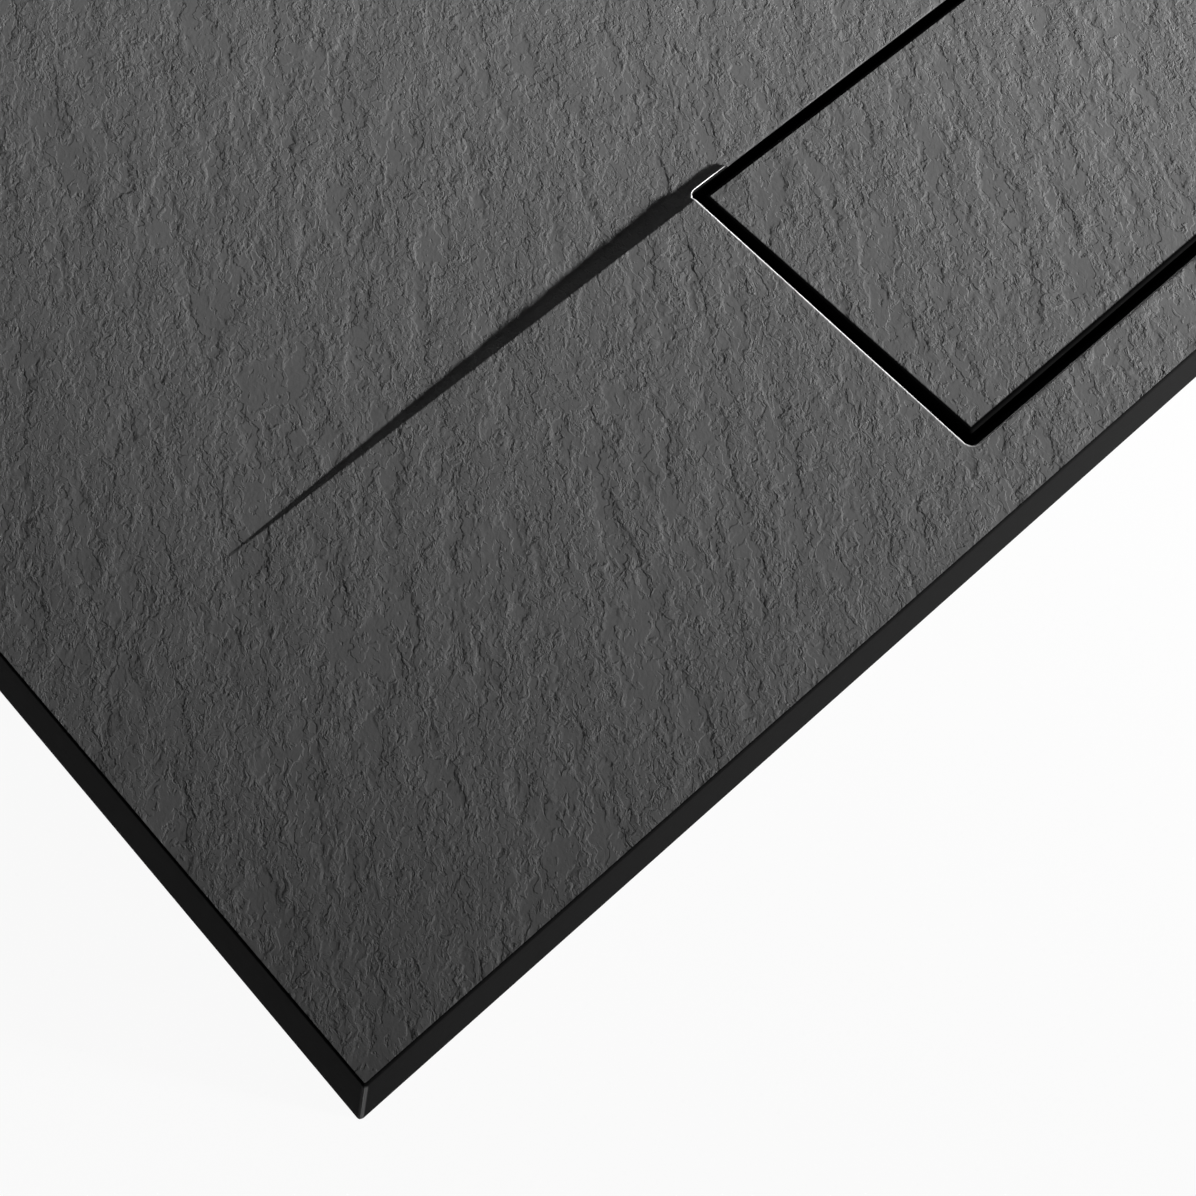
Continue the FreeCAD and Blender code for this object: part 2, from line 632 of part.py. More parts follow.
def make_hair_strainer():
    """The perforated disc that lies on the funnel, with a knob to lift it by."""
    body = new_body("hair_strainer", WASTE_Y)
    section = new_sketch(body, "strainer_section", "XZ_Plane")
    flare_top = "(dims.knob_height - dims.knob_grip)"
    flare_foot = f"({flare_top} - dims.knob_radius + dims.knob_neck)"
    outline(section, [
        ("0", "0"), (FUNNEL_RADIUS, "0"), (FUNNEL_RADIUS, "dims.strainer_thickness"),
        ("dims.knob_neck", "dims.strainer_thickness"), ("dims.knob_neck", flare_foot),
        ("dims.knob_radius", flare_top), ("dims.knob_radius", "dims.knob_height"), ("0", "dims.knob_height"),
    ])
    turn(body, section, "strainer_disc")
    rings = int((number(FUNNEL_BORE) - number("dims.strainer_hole")) // number("dims.strainer_pitch"))
    for ring in range(1, rings + 1):
        holes = new_sketch(body, f"strainer_ring_{ring}", "XY_Plane", "dims.strainer_thickness")
        circle(holes, f"({ring} * dims.strainer_pitch)", "0", "dims.strainer_hole")
        cut = pocket(body, holes, f"strainer_cut_{ring}", "dims.strainer_thickness")
        repeat(body, cut, f"strainer_holes_{ring}", (holes, ["N_Axis"]), f"({ring} * dims.holes_per_ring)")


def make_outlet_pipe():
    """The 40 mm spigot, its shoulder in the nut's lip and the collar that the nut holds on the seal."""
    body = new_body("outlet_pipe", WASTE_Y, "(0 - dims.outlet_drop)")
    section = new_sketch(body, "pipe_section", "YZ_Plane")
    pipe_end = f"({SHOULDER_END} + dims.outlet_length)"
    collar_radius = "(dims.stub_radius - dims.nut_play)"
    outline(section, [
        (COLLAR_START, OUTLET_BORE), (pipe_end, OUTLET_BORE), (pipe_end, "dims.outlet_radius"),
        (SHOULDER_END, "dims.outlet_radius"), (SHOULDER_END, SHOULDER_RADIUS), (COLLAR_END, SHOULDER_RADIUS),
        (COLLAR_END, collar_radius), (COLLAR_START, collar_radius),
    ])
    turn(body, section, "pipe", axis="H_Axis")


def make_outlet_seal():
    """The flat seal between the trap's stub and the spigot's collar."""
    body = new_body("outlet_seal", WASTE_Y, "(0 - dims.outlet_drop)")
    section = new_sketch(body, "outlet_seal_section", "YZ_Plane")
    rectangle(section, STUB_END, COLLAR_START, f"({OUTLET_BORE} + dims.gasket_inset)",
              "(dims.stub_radius - dims.gasket_inset)")
    turn(body, section, "outlet_seal_ring", axis="H_Axis")


def make_outlet_nut():
    """The union nut over the stub and the collar, with finger flutes round it."""
    body = new_body("outlet_nut", WASTE_Y, "(0 - dims.outlet_drop)")
    section = new_sketch(body, "nut_section", "YZ_Plane")
    lip_bore = f"({SHOULDER_RADIUS} + dims.nut_play)"
    outline(section, [
        (NUT_START, THREAD_RADIUS), (COLLAR_END, THREAD_RADIUS), (COLLAR_END, lip_bore), (NUT_END, lip_bore),
        (NUT_END, "dims.nut_radius"), (NUT_START, "dims.nut_radius"),
    ])
    turn(body, section, "nut_ring", axis="H_Axis")
    flute = new_sketch(body, "flute_outline", "XZ_Plane")
    circle(flute, "(dims.nut_radius + dims.flute_radius / 2)", "0", "dims.flute_radius")
    cut = pocket(body, flute, "flute", NUT_END)
    repeat(body, cut, "flutes", (flute, ["N_Axis"]), "dims.flute_count")


def build():
    """Make every piece in its place."""
    fill_sheet()
    make_tray()
    make_drain_cover()
    make_cover_feet()
    make_waste_flange()
    make_gasket("flange_gasket", SEAT, "dims.upper_gasket")
    make_gasket("body_gasket", "0", "dims.lower_gasket")
    make_flange_screws()
    make_screw_inserts()
    make_trap_body()
    make_dip_tube()
    make_insert_seal()
    make_trap_cup()
    make_hair_strainer()
    make_outlet_pipe()
    make_outlet_seal()
    make_outlet_nut()
    DOC.recompute()


def check():
    """Stop if any object failed or any piece has no sound solid."""
    for thing in DOC.Objects:
        if "Invalid" in thing.State or "Error" in thing.State:
            raise RuntimeError(f"{thing.Name} failed: {thing.State}")
    for piece in PIECES:
        if piece.Shape.isNull() or not piece.Shape.isValid() or not piece.Shape.Solids:
            raise RuntimeError(f"{piece.Label} has no sound solid")


def write():
    """Write each piece to its own STEP file and print its size."""
    os.makedirs("parts", exist_ok=True)
    for piece in PIECES:
        piece.Shape.exportStep(f"parts/{piece.Label}.step")
        box = piece.Shape.BoundBox
        lows = f"{box.XMin:8.2f} {box.YMin:8.2f} {box.ZMin:7.2f}"
        highs = f"{box.XMax:8.2f} {box.YMax:8.2f} {box.ZMax:7.2f}"
        print(f"{piece.Label:16s} {len(piece.Shape.Solids):2d} solids, from {lows} to {highs}")


build()
check()
write()
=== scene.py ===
import logging
import math
from collections.abc import Sequence
from dataclasses import dataclass, field
from enum import Enum, IntEnum
from typing import ClassVar

import bmesh
import bpy
import numpy as np
from mathutils import Matrix, Vector
from mathutils.geometry import delaunay_2d_cdt


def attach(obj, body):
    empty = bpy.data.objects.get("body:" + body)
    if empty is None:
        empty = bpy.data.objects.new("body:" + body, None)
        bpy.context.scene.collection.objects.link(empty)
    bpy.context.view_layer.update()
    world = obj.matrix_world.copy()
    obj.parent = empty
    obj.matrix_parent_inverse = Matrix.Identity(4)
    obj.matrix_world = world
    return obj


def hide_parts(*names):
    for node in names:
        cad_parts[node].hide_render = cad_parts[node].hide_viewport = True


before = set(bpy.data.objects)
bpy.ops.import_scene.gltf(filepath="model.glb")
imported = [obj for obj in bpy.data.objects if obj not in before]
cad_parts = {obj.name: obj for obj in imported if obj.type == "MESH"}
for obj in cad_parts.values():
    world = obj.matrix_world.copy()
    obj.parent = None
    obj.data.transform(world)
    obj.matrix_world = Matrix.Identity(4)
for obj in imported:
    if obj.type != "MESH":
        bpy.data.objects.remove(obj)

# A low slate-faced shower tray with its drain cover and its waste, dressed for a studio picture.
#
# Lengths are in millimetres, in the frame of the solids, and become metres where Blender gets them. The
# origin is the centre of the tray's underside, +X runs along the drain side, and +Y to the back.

LOG = logging.getLogger("shower_tray")
METRES = 0.001  # metres in a millimetre
MM_PER_METRE = 1000.0
GRAIN = 58.0  # the slate's grain, in degrees from +X
LATTICE = 256  # cells after which the value noise repeats
NOISE_SPAN = (0.3, 0.7)  # layered noise seldom leaves it
TINY = 1e-6  # keeps a divisor from zero
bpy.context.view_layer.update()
Output = tuple[bpy.types.Node, str | int]


class RecordSlot(Enum):
    """The record's material slots, each with a finish of its own."""

    SLATE = "slate_resin"
    WHITE = "white_plastic"
    GREY = "grey_plastic"
    RUBBER = "black_rubber"
    STEEL = "stainless_steel"
    BRASS = "brass"


class Body(Enum):
    """The moving bodies that new pieces ride on."""

    TRAY = "tray"
    COVER = "cover"


class Patch(IntEnum):
    """Which of a slate piece's two materials a patch wears."""

    SLATE = 0
    EDGE = 1


class Mark(IntEnum):
    """What each vertex of a slate piece carries, from 0 to 1.

    They are how strongly the riven slate shows, how pale an edge is painted as a painted highlight, and how
    much painted shade darkens it.
    """

    RIVEN = 0
    WORN = 1
    SEALED = 2

    @property
    def layer(self) -> str:
        """The name of the mesh's attribute that holds the mark."""
        return self.name.lower()


def linear(hex_colour: str) -> tuple[float, float, float, float]:
    """Turn an sRGB hex colour into linear light.

    Args:
        hex_colour: Six hex digits, such as "3c3c3d".

    Returns:
        Red, green and blue in linear light, and an alpha of 1.
    """
    parts = np.array([int(hex_colour[i:i + 2], 16) for i in (0, 2, 4)]) / 255
    light = np.where(parts <= 0.04045, parts / 12.92, ((parts + 0.055) / 1.055) ** 2.4)
    return (*light.tolist(), 1.0)


def add_node(tree: bpy.types.NodeTree, kind: str, links: dict[str | int, object] | None = None,
             **settings: object) -> bpy.types.Node:
    """Add a node with its settings and its links.

    Args:
        tree: The node tree that gets the node.
        kind: The node's type, without the ShaderNode that its name starts with.
        links: For each input, by name or number, a plain value or a pair (node, output).
        settings: Properties of the node itself.

    Returns:
        The new node.
    """
    node = tree.nodes.new("ShaderNode" + kind)
    for name, value in settings.items():
        setattr(node, name, value)
    for socket, value in (links or {}).items():
        if isinstance(value, tuple) and isinstance(value[0], bpy.types.Node):
            tree.links.new(value[0].outputs[value[1]], node.inputs[socket])
        else:
            node.inputs[socket].default_value = value
    return node


def blank_material(name: str) -> tuple[bpy.types.Material, bpy.types.NodeTree, bpy.types.Node,
                                       bpy.types.Node]:
    """Start a material.

    Args:
        name: The material's name.

    Returns:
        The material, its node tree, its shader and the node that gives the place on the piece.
    """
    material = bpy.data.materials.new(name)
    material.use_nodes = True
    tree = material.node_tree
    return material, tree, tree.nodes["Principled BSDF"], add_node(tree, "TexCoord")


def link_shader(tree: bpy.types.NodeTree, shader: bpy.types.Node, colour: bpy.types.Node,
                rough: bpy.types.Node, bump: bpy.types.Node) -> None:
    """Link a shader's colour, roughness and relief.

    Args:
        tree: The material's node tree.
        shader: The shader that gets them.
        colour: The node that mixes the colour.
        rough: The node that gives the roughness.
        bump: The node that turns the relief into normals.
    """
    tree.links.new(colour.outputs[2], shader.inputs["Base Color"])
    tree.links.new(rough.outputs[0], shader.inputs["Roughness"])
    tree.links.new(bump.outputs[0], shader.inputs["Normal"])


def smooth_step(value: np.ndarray, low: float = 0.0, high: float = 1.0) -> np.ndarray:
    """The blend 3t^2 - 2t^3 of how far value has come from low to high."""
    t = np.clip((value - low) / (high - low), 0, 1)
    return t * t * (3 - 2 * t)


def value_noise(u: np.ndarray, v: np.ndarray, seed: int) -> np.ndarray:
    """Smooth noise on a square lattice.

    Each lattice point has a seeded random value from 0 to 1, and a point between four of them gets their
    blend, weighted by 3t^2 - 2t^3 of its place t in the cell, both ways.

    Args:
        u: Places along the first axis, one cell to a unit.
        v: Places along the second axis.
        seed: The seed of the lattice's values.

    Returns:
        The noise at each place, from 0 to 1.
    """
    table = np.random.default_rng(seed).random((LATTICE, LATTICE))
    i, j = np.floor(u).astype(int), np.floor(v).astype(int)
    s, t = smooth_step(u - i), smooth_step(v - j)
    left, right, low, high = i % LATTICE, (i + 1) % LATTICE, j % LATTICE, (j + 1) % LATTICE
    near = table[left, low] * (1 - s) + table[right, low] * s
    far = table[left, high] * (1 - s) + table[right, high] * s
    return near * (1 - t) + far * t


def along_grain(x: np.ndarray, y: np.ndarray) -> tuple[np.ndarray, np.ndarray]:
    """Turn places on the tray into places along the slate's grain and across it."""
    turn = math.radians(GRAIN)
    return x * math.cos(turn) + y * math.sin(turn), y * math.cos(turn) - x * math.sin(turn)


def spaced(stops: Sequence[float], steps: Sequence[float]) -> np.ndarray:
    """Grid lines with even runs between stops.

    Args:
        stops: Places that each get a line, in order.
        steps: The widest spacing in each run between two stops.

    Returns:
        All the lines, in order.
    """
    runs = [np.linspace(a, b, max(1, math.ceil((b - a) / step)), endpoint=False)
            for a, b, step in zip(stops, stops[1:], steps)]
    return np.concatenate([*runs, [stops[-1]]])


def edge_round(radius: float, flare: float, height: float,
               count: int) -> tuple[np.ndarray, np.ndarray]:
    """The round between a level face and a side that leans out by flare over height.

    With the lean p = atan(flare / height), the arc starts r / tan((90 + p) / 2) inside the sharp edge and
    turns from 90 degrees to p: out = r cos(a) - start, drop = r - r sin(a).

    Args:
        radius: The round's radius.
        flare: How far the side's foot stands out past its top.
        height: The side's height.
        count: The number of steps along the arc.

    Returns:
        How far each point stands out past the sharp edge, and how far below the face it lies.
    """
    lean = math.atan2(flare, height)
    start = radius / math.tan((math.pi / 2 + lean) / 2)
    angle = np.linspace(math.pi / 2, lean, count + 1)
    return radius * np.cos(angle) - start, radius - radius * np.sin(angle)


@dataclass
class Shell:
    """A closed surface gathered from patches, in millimetres, whose vertices carry the marks."""

    points: list[np.ndarray] = field(default_factory=list)
    marks: list[np.ndarray] = field(default_factory=list)
    faces: list[np.ndarray] = field(default_factory=list)
    finishes: list[np.ndarray] = field(default_factory=list)
    size: int = 0

    MERGE_STEP: ClassVar[float] = 1e-4  # points nearer than this are one, in millimetres
    CUT_STEP: ClassVar[float] = 1e-9  # the same for the triangulation
    IN_HOLE: ClassVar[float] = 0.9995  # a triangle whose middle is within this share of the radius is cut
    CREASE: ClassVar[float] = 35.0  # the angle past which an edge is drawn sharp, in degrees

    def add(self, points: np.ndarray, faces: np.ndarray, finish: Patch,
            marks: np.ndarray | float = 0.0) -> None:
        """Put in a patch of four-cornered faces, where a triangle repeats its last corner.

        Args:
            points: The corners, one row each.
            faces: Four corner numbers a face.
            finish: Which of the piece's materials the patch wears.
            marks: The three marks of each corner, or one number for all.
        """
        self.points.append(points)
        self.marks.append(np.broadcast_to(marks, (len(points), len(Mark))))
        self.faces.append(faces + self.size)
        self.finishes.append(np.full(len(faces), finish))
        self.size += len(points)

    def add_grid(self, points: np.ndarray, finish: Patch, marks: np.ndarray | float = 0.0,
                 keep: np.ndarray | None = None) -> None:
        """Put in a grid patch, whose faces join each row to the next.

        Args:
            points: The corners as rows by columns by 3.
            finish: Which of the piece's materials the patch wears.
            marks: The three marks of each corner as rows by columns by 3, or one number for all.
            keep: Which faces are there, as rows less one by columns less one. All, if left out.
        """
        rows, columns = points.shape[:2]
        index = np.arange(rows * columns).reshape(rows, columns)
        faces = np.stack([index[:-1, :-1], index[:-1, 1:], index[1:, 1:], index[1:, :-1]], axis=-1)
        chosen = faces.reshape(-1, 4) if keep is None else faces[keep]
        flat = marks if np.isscalar(marks) else marks.reshape(-1, len(Mark))
        self.add(points.reshape(-1, 3), chosen, finish, flat)

    def add_level(self, outer: np.ndarray, circles: Sequence[tuple[float, float, float, int]],
                  height: float, finish: Patch) -> None:
        """Put in a level face between a convex outline and round holes, as a Delaunay triangulation.

        Args:
            outer: The outline's points, x and y.
            circles: Each hole's centre x and y, radius and number of points.
            height: The height that the face lies at.
            finish: Which of the piece's materials the patch wears.
        """
        loops = [outer] + [circle_points(*circle) for circle in circles]
        flat = np.concatenate(loops)
        edges, start = [], 0
        for loop in loops:
            ring = np.arange(len(loop)) + start
            edges.append(np.stack([ring, np.roll(ring, -1)], axis=1))
            start += len(loop)
        found = delaunay_2d_cdt([Vector(p) for p in flat.tolist()], np.concatenate(edges).tolist(), [], 0,
                                self.CUT_STEP)
        corners = np.array([tuple(p) for p in found[0]])
        triangles = np.array([f for f in found[2] if len(f) == 3])
        middle = corners[triangles].mean(axis=1)
        keep = np.ones(len(triangles), bool)
        for x, y, radius, _ in circles:
            keep &= np.hypot(middle[:, 0] - x, middle[:, 1] - y) > radius * self.IN_HOLE
        solid = np.column_stack([corners, np.full(len(corners), height)])
        self.add(solid, triangles[keep][:, [0, 1, 2, 2]], finish)

    def write(self, name: str, materials: Sequence[bpy.types.Material]) -> bpy.types.Object:
        """Join the patches where they meet and make the piece.

        A corner that repeats an earlier one of its face is left out, and so is a face with fewer than three.

        Args:
            name: The piece's name.
            materials: The piece's materials, in the order of Patch.

        Returns:
            The piece, with its place in its mesh.
        """
        points, marks = np.concatenate(self.points), np.concatenate(self.marks)
        whole = np.round(points / self.MERGE_STEP).astype(np.int64)
        _, first, number = np.unique(whole, axis=0, return_index=True, return_inverse=True)
        faces = number.reshape(-1)[np.concatenate(self.faces)]
        finishes = np.concatenate(self.finishes)
        fresh = np.stack([(faces[:, [j]] != faces[:, :j]).all(axis=1) for j in range(4)], axis=1)
        sound = fresh.sum(axis=1) > 2
        rings = np.split(faces[sound][fresh[sound]], np.cumsum(fresh[sound].sum(axis=1))[:-1])
        mesh = bpy.data.meshes.new(name)
        mesh.from_pydata((points[first] * METRES).tolist(), [], rings)
        mesh.polygons.foreach_set("material_index", finishes[sound].astype(np.int32))
        for mark in Mark:
            layer = mesh.attributes.new(mark.layer, "FLOAT", "POINT")
            layer.data.foreach_set("value", marks[first, mark].astype(np.float32))
        turned = bmesh.new()
        turned.from_mesh(mesh)
        bmesh.ops.recalc_face_normals(turned, faces=turned.faces)
        turned.to_mesh(mesh)
        turned.free()
        mesh.polygons.foreach_set("use_smooth", np.ones(len(mesh.polygons), bool))
        mesh.set_sharp_from_angle(angle=math.radians(self.CREASE))
        for material in materials:
            mesh.materials.append(material)
        piece = bpy.data.objects.new(name, mesh)
        bpy.context.scene.collection.objects.link(piece)
        return piece


def circle_points(x: float, y: float, radius: float, count: int) -> np.ndarray:
    """Points evenly round a circle, from its +X side, as x and y columns."""
    turn = np.arange(count) * (2 * math.pi / count)
    return np.column_stack([x + radius * np.cos(turn), y + radius * np.sin(turn)])


def closed(grid: np.ndarray) -> np.ndarray:
    """A grid whose rows run once round, with its first column again at the end so that it meets itself."""
    return np.concatenate([grid, grid[:, :1]], axis=1)


def tube(rings: Sequence[np.ndarray], heights: Sequence[float]) -> np.ndarray:
    """Closed rings of x and y points at their heights, as a grid that meets itself."""
    grid = [np.column_stack([ring, np.full(len(ring), z)]) for ring, z in zip(rings, heights)]
    return closed(np.stack(grid))


def loop_of(grid: np.ndarray) -> np.ndarray:
    """The points round the edge of a grid, once round, anticlockwise from its first corner."""
    return np.concatenate([grid[0, :-1], grid[:-1, -1], grid[-1, :0:-1], grid[:0:-1, 0]])


@dataclass(frozen=True)
class Layer:
    """One layer of the split-slate relief, in millimetres: its cells along, across and up, and its steps."""

    cell: tuple[float, float, float]
    detail: float
    roughness: float
    levels: float
    rise: float


@dataclass(frozen=True)
class RivenSlate:
    """Mineral-filled resin cast against a split-slate mould, under a matt gel coat.

    To the eye it is a charcoal face of thin plates that end in low broken steps along one grain, with
    crumbled patches between them. The matt gel coat has next to no sheen, so the steps show by their shading
    alone. The cells are in millimetres along the grain, across it and upwards, as split slate has them.
    """

    name: str
    shift: tuple[float, float, float] = (0.0, 0.0, 0.0)
    dark: str = "5a5a5a"
    pale: str = "676767"
    # The pale painted on the lips, a painted highlight where their rounds catch the light.
    worn: str = "cacaca"
    # The near black of painted shade, on the cover's border, the lip at the mouth and the far wall.
    painted_shade_colour: str = "0a0a0a"
    ior: float = 1.52
    specular: float = 0.08
    roughness: tuple[float, float] = (0.80, 0.90)
    ledges: Layer = Layer((36.0, 18.0, 18.0), 6.0, 0.58, 6.0, 0.17)
    plates: Layer = Layer((11.0, 6.0, 6.0), 4.0, 0.55, 5.0, 0.13)
    crumbs: Layer = Layer((2.9, 1.7, 1.7), 2.0, 0.5, 4.0, 0.12)
    slope_from: float = 0.8
    patch: tuple[float, float, float] = (34.0, 15.0, 15.0)
    broken: tuple[float, float] = (0.40, 0.52)
    skin: tuple[float, float, float] = (2.2, 1.3, 1.3)
    skin_depth: float = 0.09
    mean: float = 0.85
    clouds: tuple[float, float, float] = (22.0, 9.0, 9.0)
    sway_cell: float = 4.5
    sway: float = 5.0

    def stretched(self, tree: bpy.types.NodeTree, place: Output, cell: tuple[float, float, float],
                  detail: float, roughness: float) -> Output:
        """Layered noise whose largest cells have the given sizes.

        Args:
            tree: The material's node tree.
            place: The place in millimetres.
            cell: The size of the largest cell along the grain, across it and upwards, in millimetres.
            detail: How many finer layers it has.
            roughness: How strong each finer layer is against the one before.

        Returns:
            The noise.
        """
        sized = add_node(tree, "VectorMath", {0: place, 1: cell}, operation="DIVIDE")
        noise = add_node(tree, "TexNoise",
                         {"Vector": (sized, 0), "Scale": 1.0, "Detail": detail, "Roughness": roughness})
        return noise, "Fac"

    def terraces(self, tree: bpy.types.NodeTree, place: Output, layer: Layer) -> Output:
        """Turn a layer's smooth noise into flat levels with a short slope between them.

        With n the noise times the levels, the height is the rise times floor(n) plus a smooth step of what is
        left of n, taken over its last part.

        Args:
            tree: The material's node tree.
            place: The place in millimetres.
            layer: The layer's cells and steps.

        Returns:
            The stepped height in millimetres.
        """
        height = self.stretched(tree, place, layer.cell, layer.detail, layer.roughness)
        scaled = add_node(tree, "Math", {0: height, 1: layer.levels}, operation="MULTIPLY")
        whole = add_node(tree, "Math", {0: (scaled, 0)}, operation="FLOOR")
        rest = add_node(tree, "Math", {0: (scaled, 0)}, operation="FRACT")
        slope = add_node(tree, "MapRange", {"Value": (rest, 0), "From Min": self.slope_from, "From Max": 1.0},
                         interpolation_type="SMOOTHSTEP")
        total = add_node(tree, "Math", {0: (whole, 0), 1: (slope, 0)}, operation="ADD")
        return add_node(tree, "Math", {0: (total, 0), 1: layer.rise}, operation="MULTIPLY"), 0

    def make(self) -> bpy.types.Material:
        """Make the material."""
        material, tree, shader, place = blank_material(self.name)
        turned = add_node(tree, "Mapping",
                          {"Vector": (place, "Object"), "Scale": (MM_PER_METRE,) * 3,
                           "Rotation": (0.0, 0.0, -math.radians(GRAIN)), "Location": self.shift})
        ripple = add_node(tree, "TexNoise",
                          {"Vector": (turned, 0), "Scale": 1 / self.sway_cell, "Detail": 3.0})
        about = add_node(tree, "VectorMath", {0: (ripple, "Color"), 1: (0.5, 0.5, 0.5)}, operation="SUBTRACT")
        moved = add_node(tree, "VectorMath", {0: (about, 0), "Scale": self.sway}, operation="SCALE")
        mm = add_node(tree, "VectorMath", {0: (turned, 0), 1: (moved, 0)}, operation="ADD"), 0

        patches = self.stretched(tree, mm, self.patch, 3.0, 0.5)
        broken = add_node(tree, "MapRange",
                          {"Value": patches, "From Min": self.broken[0], "From Max": self.broken[1]},
                          interpolation_type="SMOOTHSTEP")
        crumbs = add_node(tree, "Math",
                          {0: self.terraces(tree, mm, self.crumbs), 1: (broken, 0)}, operation="MULTIPLY")
        skin = add_node(tree, "Math", {0: self.stretched(tree, mm, self.skin, 2.0, 0.5), 1: self.skin_depth},
                        operation="MULTIPLY")
        coarse = add_node(tree, "Math",
                          {0: self.terraces(tree, mm, self.ledges), 1: self.terraces(tree, mm, self.plates)},
                          operation="ADD")
        fine = add_node(tree, "Math", {0: (crumbs, 0), 1: (skin, 0)}, operation="ADD")
        whole = add_node(tree, "Math", {0: (coarse, 0), 1: (fine, 0)}, operation="ADD")
        riven = add_node(tree, "Attribute", attribute_name=Mark.RIVEN.layer)
        about_mean = add_node(tree, "Math", {0: (whole, 0), 1: self.mean}, operation="SUBTRACT")
        relief = add_node(tree, "Math", {0: (about_mean, 0), 1: (riven, "Fac")}, operation="MULTIPLY")
        bump = add_node(tree, "Bump", {"Height": (relief, 0), "Strength": 1.0, "Distance": METRES})

        tone = add_node(tree, "Mix",
                        {0: self.stretched(tree, mm, self.clouds, 4.0, 0.6), 6: linear(self.dark),
                         7: linear(self.pale)}, data_type="RGBA")
        # Lips painted pale are a painted highlight, where their rounds catch the light.
        painted_highlight = add_node(tree, "Attribute", attribute_name=Mark.WORN.layer)
        with_painted_highlight = add_node(tree, "Mix", {0: (painted_highlight, "Fac"), 6: (tone, 2), 7: linear(self.worn)},
                        data_type="RGBA")
        # Borders and walls painted near black are painted shade.
        sealed = add_node(tree, "Attribute", attribute_name=Mark.SEALED.layer)
        colour = add_node(tree, "Mix", {0: (sealed, "Fac"), 6: (with_painted_highlight, 2), 7: linear(self.painted_shade_colour)},
                          data_type="RGBA")
        rough = add_node(tree, "MapRange",
                         {"Value": patches, "From Min": NOISE_SPAN[0], "From Max": NOISE_SPAN[1],
                          "To Min": self.roughness[0], "To Max": self.roughness[1]})
        link_shader(tree, shader, colour, rough, bump)
        shader.inputs["IOR"].default_value = self.ior
        shader.inputs["Specular IOR Level"].default_value = self.specular
        return material


@dataclass(frozen=True)
class SawnEdgePaintedShade:
    """The same casting on its trimmed sides and the rim's rounds, where it is painted near black as painted
    shade.

    To the eye it is nearly black and flat, with a fine drag from the trimming, and painted pale on its
    upright corners as a painted highlight, where they catch the light.
    """

    name: str
    # The near black is painted shade on the sides and rounds, far darker than the face's own slate.
    body: str = "0e0e0e"
    # The pale painted on the upright corners is a painted highlight, where they catch the light.
    worn: str = "606060"
    specular: float = 0.02
    roughness: tuple[float, float] = (0.75, 0.95)
    drag_length: float = 4.0
    drag_height: float = 0.6
    drag_depth: float = 0.1

    def make(self) -> bpy.types.Material:
        """Make the material."""
        material, tree, shader, place = blank_material(self.name)
        along, up = MM_PER_METRE / self.drag_length, MM_PER_METRE / self.drag_height
        grain = add_node(tree, "Mapping", {"Vector": (place, "Object"), "Scale": (along, along, up)})
        noise = add_node(tree, "TexNoise", {"Vector": (grain, 0), "Scale": 1.0, "Detail": 4.0})
        bump = add_node(tree, "Bump",
                        {"Height": (noise, "Fac"), "Strength": 0.6, "Distance": self.drag_depth * METRES})
        painted_highlight = add_node(tree, "Attribute", attribute_name=Mark.WORN.layer)
        tone = add_node(tree, "Mix",
                        {0: (painted_highlight, "Fac"), 6: linear(self.body), 7: linear(self.worn)}, data_type="RGBA")
        rough = add_node(tree, "MapRange",
                         {"Value": (noise, "Fac"), "To Min": self.roughness[0], "To Max": self.roughness[1]})
        link_shader(tree, shader, tone, rough, bump)
        shader.inputs["Specular IOR Level"].default_value = self.specular
        return material


@dataclass(frozen=True)
class MadeSurface:
    """A plain made surface whose colour, gloss and relief vary with one layered noise.

    The stretch draws the noise out along an axis, as brushing or turning does.
    """

    name: str
    colours: tuple[str, str]
    roughness: tuple[float, float]
    grain: float
    relief: float
    metallic: float = 0.0
    ior: float = 1.5
    stretch: tuple[float, float, float] = (1.0, 1.0, 1.0)

    def make(self) -> bpy.types.Material:
        """Make the material."""
        material, tree, shader, place = blank_material(self.name)
        scale = tuple(MM_PER_METRE / (self.grain * s) for s in self.stretch)
        sized = add_node(tree, "Mapping", {"Vector": (place, "Object"), "Scale": scale})
        noise = add_node(tree, "TexNoise",
                         {"Vector": (sized, 0), "Scale": 1.0, "Detail": 5.0, "Roughness": 0.6})
        tone = add_node(tree, "Mix",
                        {0: (noise, "Fac"), 6: linear(self.colours[0]), 7: linear(self.colours[1])},
                        data_type="RGBA")
        rough = add_node(tree, "MapRange",
                         {"Value": (noise, "Fac"), "From Min": NOISE_SPAN[0], "From Max": NOISE_SPAN[1],
                          "To Min": self.roughness[0], "To Max": self.roughness[1]})
        bump = add_node(tree, "Bump",
                        {"Height": (noise, "Fac"), "Strength": 1.0, "Distance": self.relief * METRES})
        link_shader(tree, shader, tone, rough, bump)
        shader.inputs["Metallic"].default_value = self.metallic
        if not self.metallic:
            shader.inputs["IOR"].default_value = self.ior
        return material


@dataclass
class RivenRelief:
    """The broad hollows of a split-slate face, which lie along its grain."""

    seed: int
    depth: float = 0.2
    cells: tuple[tuple[float, float, float], ...] = ((70.0, 26.0, 0.5), (34.0, 12.0, 0.3), (20.0, 8.0, 0.2))

    def drop(self, x: np.ndarray, y: np.ndarray) -> np.ndarray:
        """How far the face lies below its highest level.

        With u along the grain and v across it, it is depth times the sum over the cells of
        share x noise(u / length, v / width).

        Args:
            x: Places along the tray's drain side.
            y: Places from the drain side to the back.

        Returns:
            The drop at each place, from 0 to the depth.
        """
        u, v = along_grain(x, y)
        layers = [share * value_noise(u / length, v / width, self.seed + i)
                  for i, (length, width, share) in enumerate(self.cells)]
        return self.depth * np.sum(layers, axis=0)


